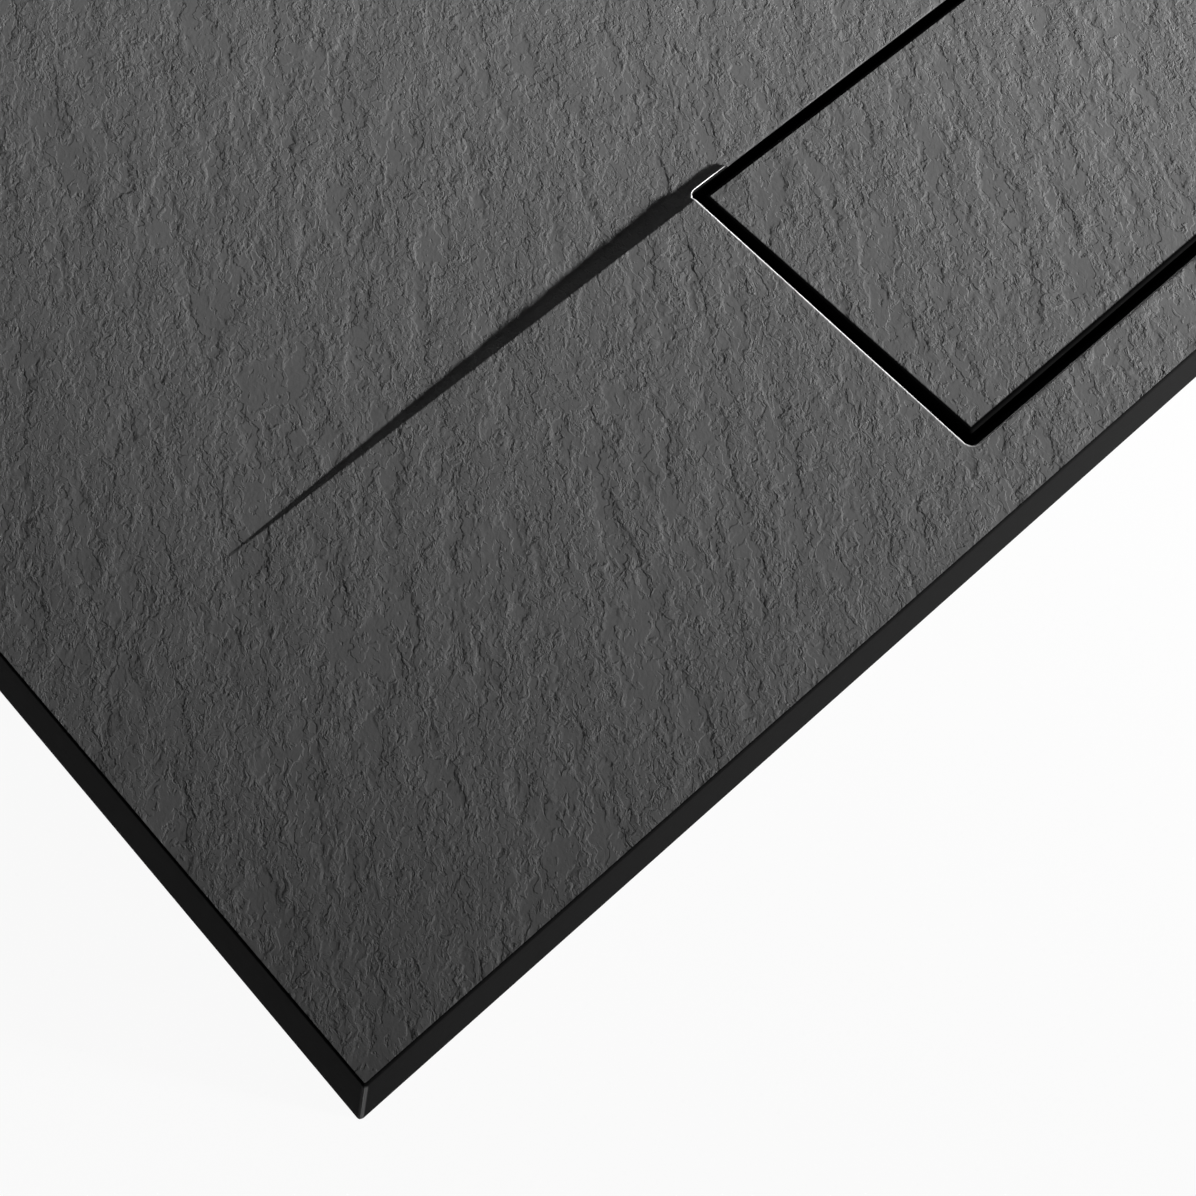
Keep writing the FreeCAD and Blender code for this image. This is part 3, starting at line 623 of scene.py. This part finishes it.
@dataclass
class SlateTray:
    """The cast slab with its riven face, its falling floor, its ramp and the recess for the cover."""

    # The slab, and its rim with its flares and rounds.
    half_width: float = 450.0
    half_depth: float = 600.0
    thickness: float = 35.0
    flank_flare: float = 6.8
    front_flare: float = 0.4
    rim_round: float = 1.0
    upright_round: float = 1.5
    # The floor's borders, and the ramp's top and foot.
    border_x: float = 378.2
    border_y: float = 528.2
    fall: float = 3.5
    crease_y: float = -433.3
    foot_y: float = -425.3
    pan_y: float = -401.3
    # The recess with its lip, which is smaller by these shares at the far side and at the mouth.
    recess_half: float = 148.35
    recess_near: float = -572.65
    recess_far: float = -428.95
    recess_floor: float = 15.0
    recess_corner: float = 3.5
    recess_round: float = 1.0
    far_less: float = 0.6
    mouth_less: float = 0.1
    band: float = 5.0
    # The mouth, where the water leaves the pan, and the noses that the ramp ends in beside it.
    nose_x: float = 135.65
    nose_y: float = -433.6
    nose_round: float = 8.3
    mouth_edge: float = 0.6
    mouth_blend: float = 4.0
    # The waste's seat, its hole and the rebate under it.
    waste_y: float = -500.8
    seat_radius: float = 58.8
    seat_height: float = 11.0
    hole_radius: float = 45.0
    rebate_radius: float = 60.0
    rebate_height: float = 2.5
    # The broken slate along the ramp's foot.
    foot_softness: float = 1.0
    crumble: float = 0.55
    crumble_cell: tuple[float, float] = (5.0, 2.6)
    crumble_reach: float = 5.0
    crumble_seed: int = 29
    relief: RivenRelief = field(default_factory=lambda: RivenRelief(seed=11))
    # Where the face's grid changes its spacing, besides the edges above.
    fine_x: float = 126.0
    coarse_x: float = 66.0
    coarse_y: float = -180.0
    before_crease: float = 1.0
    past_foot: float = 8.0

    CIRCLE: ClassVar[int] = 96
    ARC: ClassVar[int] = 5
    COLUMN_STEPS: ClassVar[tuple[float, ...]] = (0.45, 2.0, 0.8, 3.5, 5.0, 0.8, 3.2, 0.45)
    ROW_STEPS: ClassVar[tuple[float, ...]] = (0.45, 3.0, 3.5, 0.5, 0.6, 0.8, 2.5, 4.0, 12.0, 12.0, 0.45)
    BAND_ROWS: ClassVar[tuple[float, ...]] = (0.6, 0.25)
    # The shares of painted highlight and of painted shade across the lip's rows.
    LIP_PAINTED_HIGHLIGHT: ClassVar[tuple[float, ...]] = (0.0, 0.8, 1.0, 1.0, 0.0)
    LIP_PAINTED_SHADE: ClassVar[tuple[float, ...]] = (0.0, 0.3, 0.6, 0.8, 1.0)
    SIDE_ROWS: ClassVar[tuple[float, ...]] = (0, 0.06, 0.5, 0.94, 1)
    # How far the painted highlight reaches round the upright corners.
    CORNER_PAINTED_HIGHLIGHT: ClassVar[float] = 0.4

    def depth_below_rim(self, x: np.ndarray, y: np.ndarray) -> np.ndarray:
        """How far the moulded face lies below the rim, before the riven relief.

        The floor is the least of four planes that fall from the flank borders, the back border and the crease
        to the pan. Where the ramp's plane meets the floor's, the two are blended, more softly the deeper they
        lie, and the floor is crumbled there: with d the distance from the ramp's foot, the depth falls by
        crumble x (noise - 1/2) x exp(-(d / reach)^2). Past the nose's round, the mouth is cut straight down
        to the pan.

        Args:
            x: Places along the drain side.
            y: Places from the drain side to the back.

        Returns:
            The depth at each place, from 0 to the full fall.
        """
        across = (self.border_x - np.abs(x)) * self.fall / (self.border_x - self.recess_half)
        back = (self.border_y - y) * self.fall / (self.border_y - self.pan_y)
        ramp = (y - self.crease_y) * self.fall / (self.foot_y - self.crease_y)
        floor = np.clip(np.minimum(across, back), 0, self.fall)
        along, over = along_grain(x, y)
        rough = value_noise(along / self.crumble_cell[0], over / self.crumble_cell[1], self.crumble_seed)
        near = np.exp(-((y - self.foot_y) / self.crumble_reach) ** 2)
        floor = floor - self.crumble * (rough - 0.5) * near * floor / self.fall
        slope = np.clip(ramp, 0, self.fall * 2)
        soft = self.foot_softness * floor / self.fall + TINY
        mix = np.clip(0.5 + 0.5 * (slope - floor) / soft, 0, 1)
        depth = slope * (1 - mix) + floor * mix - soft * mix * (1 - mix)
        depth = np.where(ramp <= 0, 0, np.maximum(depth, 0))
        past = np.hypot(np.maximum(self.nose_x - np.abs(x), 0), np.maximum(y - self.nose_y, 0))
        inside = (np.abs(x) < self.recess_half) & (y > self.waste_y) & (y < self.pan_y)
        mouth = np.where(inside, smooth_step(past - self.nose_round, 0.0, self.mouth_edge), 0.0)
        return np.maximum(depth, self.fall * mouth)

    def face_height(self, x: np.ndarray, y: np.ndarray) -> np.ndarray:
        """The height of the riven face above the underside."""
        return self.thickness - self.depth_below_rim(x, y) - self.relief.drop(x, y)

    def grid_lines(self) -> tuple[np.ndarray, np.ndarray, np.ndarray, np.ndarray]:
        """The lines of the face's grid and how far the rim's round lowers each.

        Returns:
            The lines along x, the lines along y, and the drop of each of the two sets.
        """
        out_x, drop_x = edge_round(self.rim_round, self.flank_flare, self.thickness, self.ARC)
        out_y, drop_y = edge_round(self.rim_round, self.front_flare, self.thickness, self.ARC)
        rim_x = self.half_width - self.flank_flare
        rim_near = self.front_flare - self.half_depth
        rim_far = self.half_depth - self.flank_flare
        hole_x = self.recess_half + self.band
        hole_near, hole_far = self.recess_near - self.band, self.recess_far + self.band
        left, right = -(rim_x + out_x), rim_x + out_x
        near, far = rim_near - out_y, rim_far + out_x
        turn = self.upright_round
        inner_x = spaced([left[0], turn - rim_x, -hole_x, -self.fine_x, self.coarse_x, self.fine_x, hole_x,
                          rim_x - turn, right[0]], self.COLUMN_STEPS)
        inner_y = spaced([near[0], rim_near + turn, hole_near, self.crease_y - self.before_crease,
                          self.crease_y, hole_far, self.foot_y + self.past_foot, self.pan_y, self.coarse_y,
                          self.border_y, rim_far - turn, far[0]], self.ROW_STEPS)
        xs = np.concatenate([left[:0:-1], inner_x, right[1:]])
        ys = np.concatenate([near[:0:-1], inner_y, far[1:]])
        fall_x = np.concatenate([drop_x[:0:-1], np.zeros(len(inner_x)), drop_x[1:]])
        fall_y = np.concatenate([drop_y[:0:-1], np.zeros(len(inner_y)), drop_x[1:]])
        return xs, ys, fall_x, fall_y

    def corner_box(self) -> tuple[np.ndarray, np.ndarray]:
        """The lowest and the highest centre of the rim's round corners, as x and y."""
        rim_x = self.half_width - self.flank_flare
        low = np.array([-rim_x, self.front_flare - self.half_depth]) + self.upright_round
        high = np.array([rim_x, self.half_depth - self.flank_flare]) - self.upright_round
        return low, high

    def rounded(self, points: np.ndarray, low: np.ndarray, high: np.ndarray) -> np.ndarray:
        """Turn the square corners of a level outline into round ones.

        A point P outside the box of the corners' centres, whose nearest point of the box is c, moves along
        P - c until it is as far from c as the larger of its two distances was. Squares become circles so.

        Args:
            points: The points, with x and y first.
            low: The box's lowest x and y.
            high: The box's highest x and y.

        Returns:
            The moved points.
        """
        centre = np.clip(points[..., :2], low, high)
        away = points[..., :2] - centre
        length = np.linalg.norm(away, axis=-1, keepdims=True)
        reach = np.abs(away).max(axis=-1, keepdims=True)
        moved = centre + away * np.divide(reach, length, out=np.ones_like(length), where=length > 0)
        return np.concatenate([moved, points[..., 2:]], axis=-1)

    def add_face(self, shell: Shell) -> tuple[np.ndarray, np.ndarray]:
        """Put in the face with its rounded rim, and leave the hole for the recess and its band.

        Args:
            shell: The surface that gets the face.

        Returns:
            The rim's loop of points with its corners still square, and the loop round the hole.
        """
        xs, ys, fall_x, fall_y = self.grid_lines()
        x, y = np.meshgrid(xs, ys)
        rim = np.maximum(fall_x[None, :], fall_y[:, None])
        points = np.stack([x, y, self.face_height(x, y) - rim], axis=-1)
        riven = np.where(rim > 0, 0.0, 1.0)
        marks = np.stack([riven, np.zeros_like(rim), np.zeros_like(rim)], axis=-1)
        smooth = self.rounded(points, *self.corner_box())
        hole_x = self.recess_half + self.band
        mid_x, mid_y = (xs[1:] + xs[:-1]) / 2, (ys[1:] + ys[:-1]) / 2
        in_x = np.abs(mid_x) < hole_x
        in_y = (mid_y > self.recess_near - self.band) & (mid_y < self.recess_far + self.band)
        turned = np.maximum(rim[:-1, :-1], rim[1:, 1:]) > 0
        shell.add_grid(smooth, Patch.SLATE, marks, keep=~(in_y[:, None] & in_x[None, :]) & ~turned)
        # The rim's round wears the edge material, painted near black as painted shade.
        shell.add_grid(smooth, Patch.EDGE, marks, keep=turned)
        i, j = np.flatnonzero(in_x)[[0, -1]] + [0, 1], np.flatnonzero(in_y)[[0, -1]] + [0, 1]
        return loop_of(points), loop_of(points[j[0]:j[1] + 1, i[0]:i[1] + 1])

    def add_recess(self, shell: Shell, around: np.ndarray) -> None:
        """Put in the band round the recess, its lip, its walls, its floor and the seat of the waste.

        A point P of the loop round the hole faces the point Q of the recess's rounded outline that is nearest
        to it, which is c + r (P - c) / |P - c|, where c is P held within the box of the corner centres. The
        lip turns from level to upright. It is painted pale as a painted highlight where it catches the light,
        but painted dark at the mouth as painted shade, and the wall under it is painted dark along the far
        side as painted shade.

        Args:
            shell: The surface that gets the recess.
            around: The loop round the hole in the face.
        """
        corner = np.array([self.recess_half, (self.recess_far - self.recess_near) / 2]) - self.recess_corner
        middle = np.array([0, (self.recess_far + self.recess_near) / 2])
        centre = np.clip(around[:, :2] - middle, -corner, corner) + middle
        away = around[:, :2] - centre
        reach = np.linalg.norm(away, axis=1, keepdims=True)
        away = away / reach
        far = (around[:, 1] > self.recess_far).astype(float)
        nose_end = self.nose_x - self.nose_round - self.mouth_blend
        mouth = far * (1 - smooth_step(np.abs(around[:, 0]), nose_end, self.nose_x))
        size = self.recess_round * (1 - self.far_less * far - self.mouth_less * mouth)
        none, whole = np.zeros(len(around)), np.ones(len(around))
        rows, marks = [around], [(whole, none, none)]
        for share in self.BAND_ROWS:
            start = self.recess_corner + size[:, None]
            flat = centre + away * (start + (reach - start) * share)
            rows.append(np.column_stack([flat, self.face_height(flat[:, 0], flat[:, 1])]))
            marks.append((whole, none, none))
        turn = np.linspace(0, math.pi / 2, len(self.LIP_PAINTED_HIGHLIGHT))
        # Each lip row gets its share of painted highlight, and of painted shade at the mouth and along the
        # far side.
        for angle, painted_highlight, dark in zip(turn, self.LIP_PAINTED_HIGHLIGHT, self.LIP_PAINTED_SHADE):
            flat = centre + away * (self.recess_corner + size * (1 - math.sin(angle)))[:, None]
            drop = size * (1 - math.cos(angle))
            rows.append(np.column_stack([flat, self.face_height(flat[:, 0], flat[:, 1]) - drop]))
            marks.append((whole * (1 - math.sin(angle)), painted_highlight * (1 - mouth),
                          dark * (far if dark == 1.0 else mouth)))
        # The wall under the lip is painted dark along the far side, as painted shade.
        wall = centre + away * self.recess_corner
        rows.append(np.column_stack([wall, np.full(len(wall), self.recess_floor)]))
        marks.append((none, none, far))
        shell.add_grid(closed(np.stack(rows)), Patch.SLATE, closed(np.array(marks).transpose(0, 2, 1)))

        shell.add_level(wall, [(0, self.waste_y, self.seat_radius, self.CIRCLE)], self.recess_floor,
                        Patch.SLATE)
        seat, hole, rebate = (circle_points(0, self.waste_y, radius, self.CIRCLE)
                              for radius in (self.seat_radius, self.hole_radius, self.rebate_radius))
        shell.add_grid(tube([seat, seat, hole, hole, rebate, rebate],
                            [self.recess_floor, self.seat_height, self.seat_height, self.rebate_height,
                             self.rebate_height, 0]), Patch.SLATE)

    def add_sides(self, shell: Shell, rim: np.ndarray) -> None:
        """Put in the trimmed sides and the underside.

        Each point of the rim's loop is joined to the point of the underside's outline that lies in the same
        share of the slab's width and depth.

        Args:
            shell: The surface that gets the sides.
            rim: The rim's loop of points.
        """
        low, high = rim[:, :2].min(axis=0), rim[:, :2].max(axis=0)
        share = (rim[:, :2] - low) / (high - low)
        half = np.array([self.half_width, self.half_depth])
        foot = np.column_stack([(share * 2 - 1) * half, np.zeros(len(rim))])
        box_low, box_high = self.corner_box()
        foot_low, foot_high = box_low - low - half, box_high - high + half
        rows, worn = [], []
        for t in self.SIDE_ROWS:
            row = rim + (foot - rim) * t
            centres = box_low + (foot_low - box_low) * t, box_high + (foot_high - box_high) * t
            away = np.abs(row[:, :2] - np.clip(row[:, :2], *centres))
            # The upright corners are painted pale, a painted highlight where they catch the light.
            worn.append(smooth_step(away.min(axis=1) / away.max(axis=1), 0.0, self.CORNER_PAINTED_HIGHLIGHT))
            rows.append(self.rounded(row, *centres))
        painted_highlight = np.stack(worn)
        marks = np.stack([np.zeros_like(painted_highlight), painted_highlight, np.zeros_like(painted_highlight)], axis=-1)
        shell.add_grid(closed(np.stack(rows)), Patch.EDGE, closed(marks))
        rebate = (0, self.waste_y, self.rebate_radius, self.CIRCLE)
        shell.add_level(rows[-1][:, :2], [rebate], 0.0, Patch.EDGE)

    def build(self) -> bpy.types.Object:
        """Make the piece and let it stand for the solid slab."""
        shell = Shell()
        rim, around = self.add_face(shell)
        self.add_recess(shell, around)
        self.add_sides(shell, rim)
        slate = RivenSlate("riven_slate_gel_coat").make()
        # The sides and the rim's rounds are painted near black, as painted shade.
        edge = SawnEdgePaintedShade("trimmed_slate_edge").make()
        piece = shell.write("slate_tray", [slate, edge])
        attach(piece, Body.TRAY.value)
        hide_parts("tray")
        return piece


@dataclass
class DrainCover:
    """The slab of the same casting that lies over the drain."""

    # The slab, whose top falls to the far edge, with its rounds and the width of the painted shade along its
    # border.
    half_length: float = 144.0
    half_width: float = 67.5
    thickness: float = 12.0
    fall: float = 2.5
    corner: float = 1.5
    edge: float = 0.8
    sealed: float = 0.5
    middle_y: float = -500.8
    foot: float = 23.0
    # The sockets of its feet, and the spacing of its top's grid.
    socket_x: float = 122.0
    socket_y: float = 45.5
    socket_radius: float = 3.0
    socket_depth: float = 4.7
    spacing: float = 1.8
    relief: RivenRelief = field(default_factory=lambda: RivenRelief(seed=47))

    ARC: ClassVar[int] = 6
    EDGE_ARC: ClassVar[int] = 4
    CIRCLE: ClassVar[int] = 24

    def top_height(self, x: np.ndarray, y: np.ndarray) -> np.ndarray:
        """The height of the riven top, which falls evenly from the near edge to the far one."""
        share = 0.5 + (y - self.middle_y) / (2 * self.half_width)
        return self.foot + self.thickness - self.fall * share - self.relief.drop(x, y)

    def outline_frame(self, grid: np.ndarray) -> tuple[np.ndarray, np.ndarray]:
        """The loop round the flat top's grid, with each corner repeated so that an arc can grow from it.

        Args:
            grid: The flat top's points.

        Returns:
            The loop's points, x and y, and the way that each grows outwards.
        """
        sides = [grid[0, :, :2], grid[:, -1, :2], grid[-1, ::-1, :2], grid[::-1, 0, :2]]
        base, ways = [], []
        for k, side in enumerate(sides):
            facing = (k - 1) * math.pi / 2
            turn = facing + np.linspace(0, math.pi / 2, self.ARC + 1)[1:]
            angles = np.concatenate([np.full(len(side), facing), turn[:-1]])
            base.append(np.concatenate([side, np.repeat(side[-1:], self.ARC - 1, axis=0)]))
            ways.append(np.column_stack([np.cos(angles), np.sin(angles)]))
        return np.concatenate(base), np.concatenate(ways)

    def build(self) -> bpy.types.Object:
        """Make the piece and let it stand for the solid cover."""
        shell = Shell()
        inner_x, inner_y = self.half_length - self.corner, self.half_width - self.corner
        steps = [self.sealed, self.spacing, self.sealed]
        xs = spaced([-inner_x, self.sealed - inner_x, inner_x - self.sealed, inner_x], steps)
        ys = spaced([-inner_y, self.sealed - inner_y, inner_y - self.sealed, inner_y], steps) + self.middle_y
        x, y = np.meshgrid(xs, ys)
        top = np.stack([x, y, self.top_height(x, y)], axis=-1)
        # Painted shade darkens the top's border on the near side and at both ends, where the round turns from
        # the light.
        marks = np.zeros((*top.shape[:2], len(Mark)))
        marks[..., Mark.RIVEN] = 1
        marks[..., Mark.SEALED] = 1
        marks[1:, 1:-1, Mark.SEALED] = 0
        shell.add_grid(top, Patch.SLATE, marks)

        base, ways = self.outline_frame(top)
        turn = np.linspace(0, math.pi / 2, self.EDGE_ARC + 1)
        outs = np.concatenate([[0], self.corner - self.edge + self.edge * np.sin(turn), [self.corner]])
        drops = np.concatenate([[0], self.edge * (1 - np.cos(turn)), [self.thickness]])
        rows, strengths = [], []
        for out, drop in zip(outs, drops):
            flat = base + ways * out
            rows.append(np.column_stack([flat, self.top_height(flat[:, 0], flat[:, 1]) - drop]))
            strengths.append(np.full(len(flat), 1 - min(1.0, drop / self.edge)))
        rows[-1][:, 2] = self.foot
        riven = np.stack(strengths)
        # The round and the sides carry full painted shade.
        band = np.stack([riven, np.zeros_like(riven), np.ones_like(riven)], axis=-1)
        shell.add_grid(closed(np.stack(rows)), Patch.EDGE, closed(band))

        sockets = [(sx, self.middle_y + sy, self.socket_radius, self.CIRCLE)
                   for sx in (-self.socket_x, self.socket_x) for sy in (-self.socket_y, self.socket_y)]
        _, kept = np.unique(np.round(rows[-1][:, :2], 4), axis=0, return_index=True)
        shell.add_level(rows[-1][np.sort(kept), :2], sockets, self.foot, Patch.EDGE)
        for socket in sockets:
            ring = circle_points(*socket)
            shell.add_grid(tube([ring, ring], [self.foot, self.foot + self.socket_depth]), Patch.EDGE)
            shell.add_level(ring, [], self.foot + self.socket_depth, Patch.EDGE)
        slate = RivenSlate("riven_slate_cover", shift=(210.0, 95.0, 0.0)).make()
        # The cover's edge material is painted near black, as painted shade.
        piece = shell.write("slate_cover", [slate, SawnEdgePaintedShade("sealed_cover_edge", body="040404").make()])
        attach(piece, Body.COVER.value)
        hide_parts("drain_cover")
        return piece


@dataclass
class Waste:
    """The waste under the cover, whose solids keep their shapes and get their finishes here."""

    # Moulded ABS is a warm white with a satin skin and a faint ripple from the mould.
    white_abs: MadeSurface = MadeSurface("moulded_white_abs", ("cfcec8", "dad9d4"), (0.30, 0.42), 1.2, 0.02,
                                         ior=1.54)
    # Moulded polypropylene is duller and waxy, with slow flow marks.
    grey_pp: MadeSurface = MadeSurface("moulded_grey_polypropylene", ("7a7e81", "878b8e"), (0.42, 0.55),
                                       2.5, 0.03, ior=1.49, stretch=(1.0, 1.0, 4.0))
    # Pressed EPDM is near black and matt, with a fine talc bloom.
    epdm: MadeSurface = MadeSurface("pressed_black_epdm", ("161616", "242424"), (0.70, 0.90), 0.6, 0.03,
                                    ior=1.52)
    # Stainless steel brushed one way shows drawn-out pale and dark hairs.
    steel: MadeSurface = MadeSurface("brushed_stainless_steel", ("a3a29f", "c6c5c2"), (0.22, 0.38), 0.35,
                                     0.006, metallic=1.0, stretch=(40.0, 1.0, 1.0))
    # Turned brass shows fine rings and a soft gold sheen.
    brass: MadeSurface = MadeSurface("turned_brass", ("b08d4a", "cfae68"), (0.22, 0.36), 0.4, 0.006,
                                     metallic=1.0, stretch=(8.0, 8.0, 1.0))

    def dress(self) -> dict[str, str]:
        """Give each solid of the waste the finish of its slot in the record.

        Returns:
            The slot and the finish of each solid.
        """
        outfits = {
            RecordSlot.WHITE: (self.white_abs, ("waste_flange", "trap_body", "outlet_pipe", "outlet_nut")),
            RecordSlot.GREY: (self.grey_pp, ("dip_tube", "trap_cup")),
            RecordSlot.RUBBER: (self.epdm, ("cover_feet", "flange_gasket", "body_gasket", "insert_seal",
                                            "outlet_seal")),
            RecordSlot.STEEL: (self.steel, ("hair_strainer", "flange_screws")),
            RecordSlot.BRASS: (self.brass, ("screw_inserts",)),
        }
        worn: dict[str, str] = {}
        for slot, (finish, names) in outfits.items():
            material = finish.make()
            for name in names:
                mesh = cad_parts[name].data
                mesh.materials.clear()
                mesh.materials.append(material)
                worn[name] = f"{slot.value}, {finish.name}"
        return worn


@dataclass
class Studio:
    """The pale floor with its pit for the trap, the soft light and the camera."""

    lens: float = 57.29
    sensor: float = 36.0
    eye: tuple[float, float, float] = (-458.67, -710.01, 619.54)
    right: tuple[float, float, float] = (0.73990, -0.67260, 0.01255)
    down: tuple[float, float, float] = (-0.61365, -0.68246, -0.39709)
    forward: tuple[float, float, float] = (0.27564, 0.28610, -0.91770)
    near_clip: float = 10.0
    # The paper, which sweeps up past its radius, its grey and how white it shows, and the trap's pit in it.
    floor_radius: float = 8000.0
    sweep_height: float = 3200.0
    sweep_out: float = 0.1
    paper_grey: float = 0.75
    paper_glow: float = 0.94
    pit: tuple[float, float, float, float] = (-120.0, 120.0, -590.0, -330.0)
    pit_depth: float = 110.0
    # The surround's strength, and the softbox: watts, degrees, millimetres.
    ambient: float = 0.033
    key_power: float = 680.0
    key_spread: float = 118.0
    key_size: tuple[float, float] = (1100.0, 160.0)
    key_place: tuple[float, float, float] = (1500.0, -2660.0, 660.0)
    key_aim: tuple[float, float, float] = (2200.0, -300.0, 34.0)

    ROUND: ClassVar[int] = 96
    LEVEL_ROWS: ClassVar[tuple[float, ...]] = (0.1, 0.4, 1.0)
    SWEEP_ROWS: ClassVar[int] = 8

    def add_camera(self) -> None:
        """Put the camera where the photograph was taken from."""
        data = bpy.data.cameras.new("camera")
        data.lens = self.lens
        data.sensor_width = self.sensor
        data.clip_start = self.near_clip * METRES
        camera = bpy.data.objects.new("camera", data)
        bpy.context.scene.collection.objects.link(camera)
        turn = Matrix((self.right, [-d for d in self.down], [-f for f in self.forward])).transposed()
        camera.matrix_world = Matrix.Translation(Vector(self.eye) * METRES) @ turn.to_4x4()
        bpy.context.scene.camera = camera

    def add_floor(self) -> None:
        """Put in the floor.

        It is level from the pit out to its radius, and from there it rises in a sweep: with t from 0 to 1,
        the height is the sweep's height times t squared.
        """
        x0, x1, y0, y1 = (v * METRES for v in self.pit)
        rim = np.array([[x0, y0], [x1, y0], [x1, y1], [x0, y1]])
        turn = np.arange(self.ROUND) * (2 * math.pi / self.ROUND) - 3 * math.pi / 4
        radius = self.floor_radius * METRES
        ways = np.column_stack([np.cos(turn), np.sin(turn)])
        square = ways / np.abs(ways).max(axis=1, keepdims=True)
        middle, half = rim.mean(axis=0), (rim[2] - rim[0]) / 2
        hole = middle + square * half
        rings = [(hole, -self.pit_depth * METRES), (hole, 0.0)]
        rings += [(hole + (ways * radius - hole) * t, 0.0) for t in self.LEVEL_ROWS]
        rings += [(ways * radius * (1 + self.sweep_out * t), self.sweep_height * METRES * t * t)
                  for t in np.linspace(0, 1, self.SWEEP_ROWS + 1)[1:]]
        grid = tube([ring for ring, _ in rings], [height for _, height in rings])
        rows, columns = grid.shape[:2]
        index = np.arange(rows * columns).reshape(rows, columns)
        faces = np.stack([index[:-1, :-1], index[1:, :-1], index[1:, 1:], index[:-1, 1:]], axis=-1)
        mesh = bpy.data.meshes.new("studio_floor")
        mesh.from_pydata(grid.reshape(-1, 3).tolist(), [],
                         faces.reshape(-1, 4).tolist() + [index[0, :-1].tolist()])
        mesh.materials.append(self.floor_paper())
        floor = bpy.data.objects.new("studio_floor", mesh)
        bpy.context.scene.collection.objects.link(floor)

    def floor_paper(self) -> bpy.types.Material:
        """White paper, which shows almost white and keeps a soft shadow."""
        material = bpy.data.materials.new("studio_paper")
        material.use_nodes = True
        tree = material.node_tree
        tree.nodes.clear()
        path = add_node(tree, "LightPath")
        seen = add_node(tree, "Math", {0: (path, "Is Camera Ray"), 1: (path, "Is Glossy Ray")},
                        operation="MAXIMUM")
        shown = add_node(tree, "Math", {0: (seen, 0), 1: (path, "Is Transmission Ray")}, operation="MAXIMUM")
        matt = add_node(tree, "BsdfDiffuse", {"Color": (self.paper_grey,) * 3 + (1.0,)})
        glow = add_node(tree, "Emission", {"Color": (1.0, 1.0, 1.0, 1.0), "Strength": 1.0})
        amount = add_node(tree, "Math", {0: (shown, 0), 1: self.paper_glow}, operation="MULTIPLY")
        mixed = add_node(tree, "MixShader", {0: (amount, 0), 1: (matt, 0), 2: (glow, 0)})
        add_node(tree, "OutputMaterial", {"Surface": (mixed, 0)})
        return material

    def add_light(self) -> None:
        """Put in one long low softbox that rakes over the face, and a dim even surround."""
        data = bpy.data.lights.new("softbox", "AREA")
        data.shape = "RECTANGLE"
        data.size, data.size_y = (side * METRES for side in self.key_size)
        data.energy = self.key_power
        data.spread = math.radians(self.key_spread)
        lamp = bpy.data.objects.new("softbox", data)
        bpy.context.scene.collection.objects.link(lamp)
        lamp.visible_camera = False
        place, aim = Vector(self.key_place) * METRES, Vector(self.key_aim) * METRES
        turn = (aim - place).to_track_quat("-Z", "Y").to_matrix()
        lamp.matrix_world = Matrix.Translation(place) @ turn.to_4x4()
        world = bpy.data.worlds.new("studio_surround")
        bpy.context.scene.world = world
        world.use_nodes = True
        background = world.node_tree.nodes["Background"]
        background.inputs["Color"].default_value = (1.0, 1.0, 1.0, 1.0)
        background.inputs["Strength"].default_value = self.ambient

    def build(self) -> None:
        """Set up the floor, the light, the camera and the plain view."""
        self.add_camera()
        self.add_floor()
        self.add_light()
        bpy.context.scene.view_settings.view_transform = "Standard"


def report(piece: bpy.types.Object) -> None:
    """Log a piece's size in faces."""
    triangles = sum(len(polygon.vertices) - 2 for polygon in piece.data.polygons)
    LOG.info("%s: %d triangles", piece.name, triangles)


def main() -> None:
    """Build and dress the tray, its cover and its waste, and light them."""
    logging.basicConfig(level=logging.INFO, format="%(name)s: %(message)s")
    report(SlateTray().build())
    report(DrainCover().build())
    for node, finish in Waste().dress().items():
        LOG.info("%s: %s", node, finish)
    Studio().build()


if __name__ == "__main__":
    main()
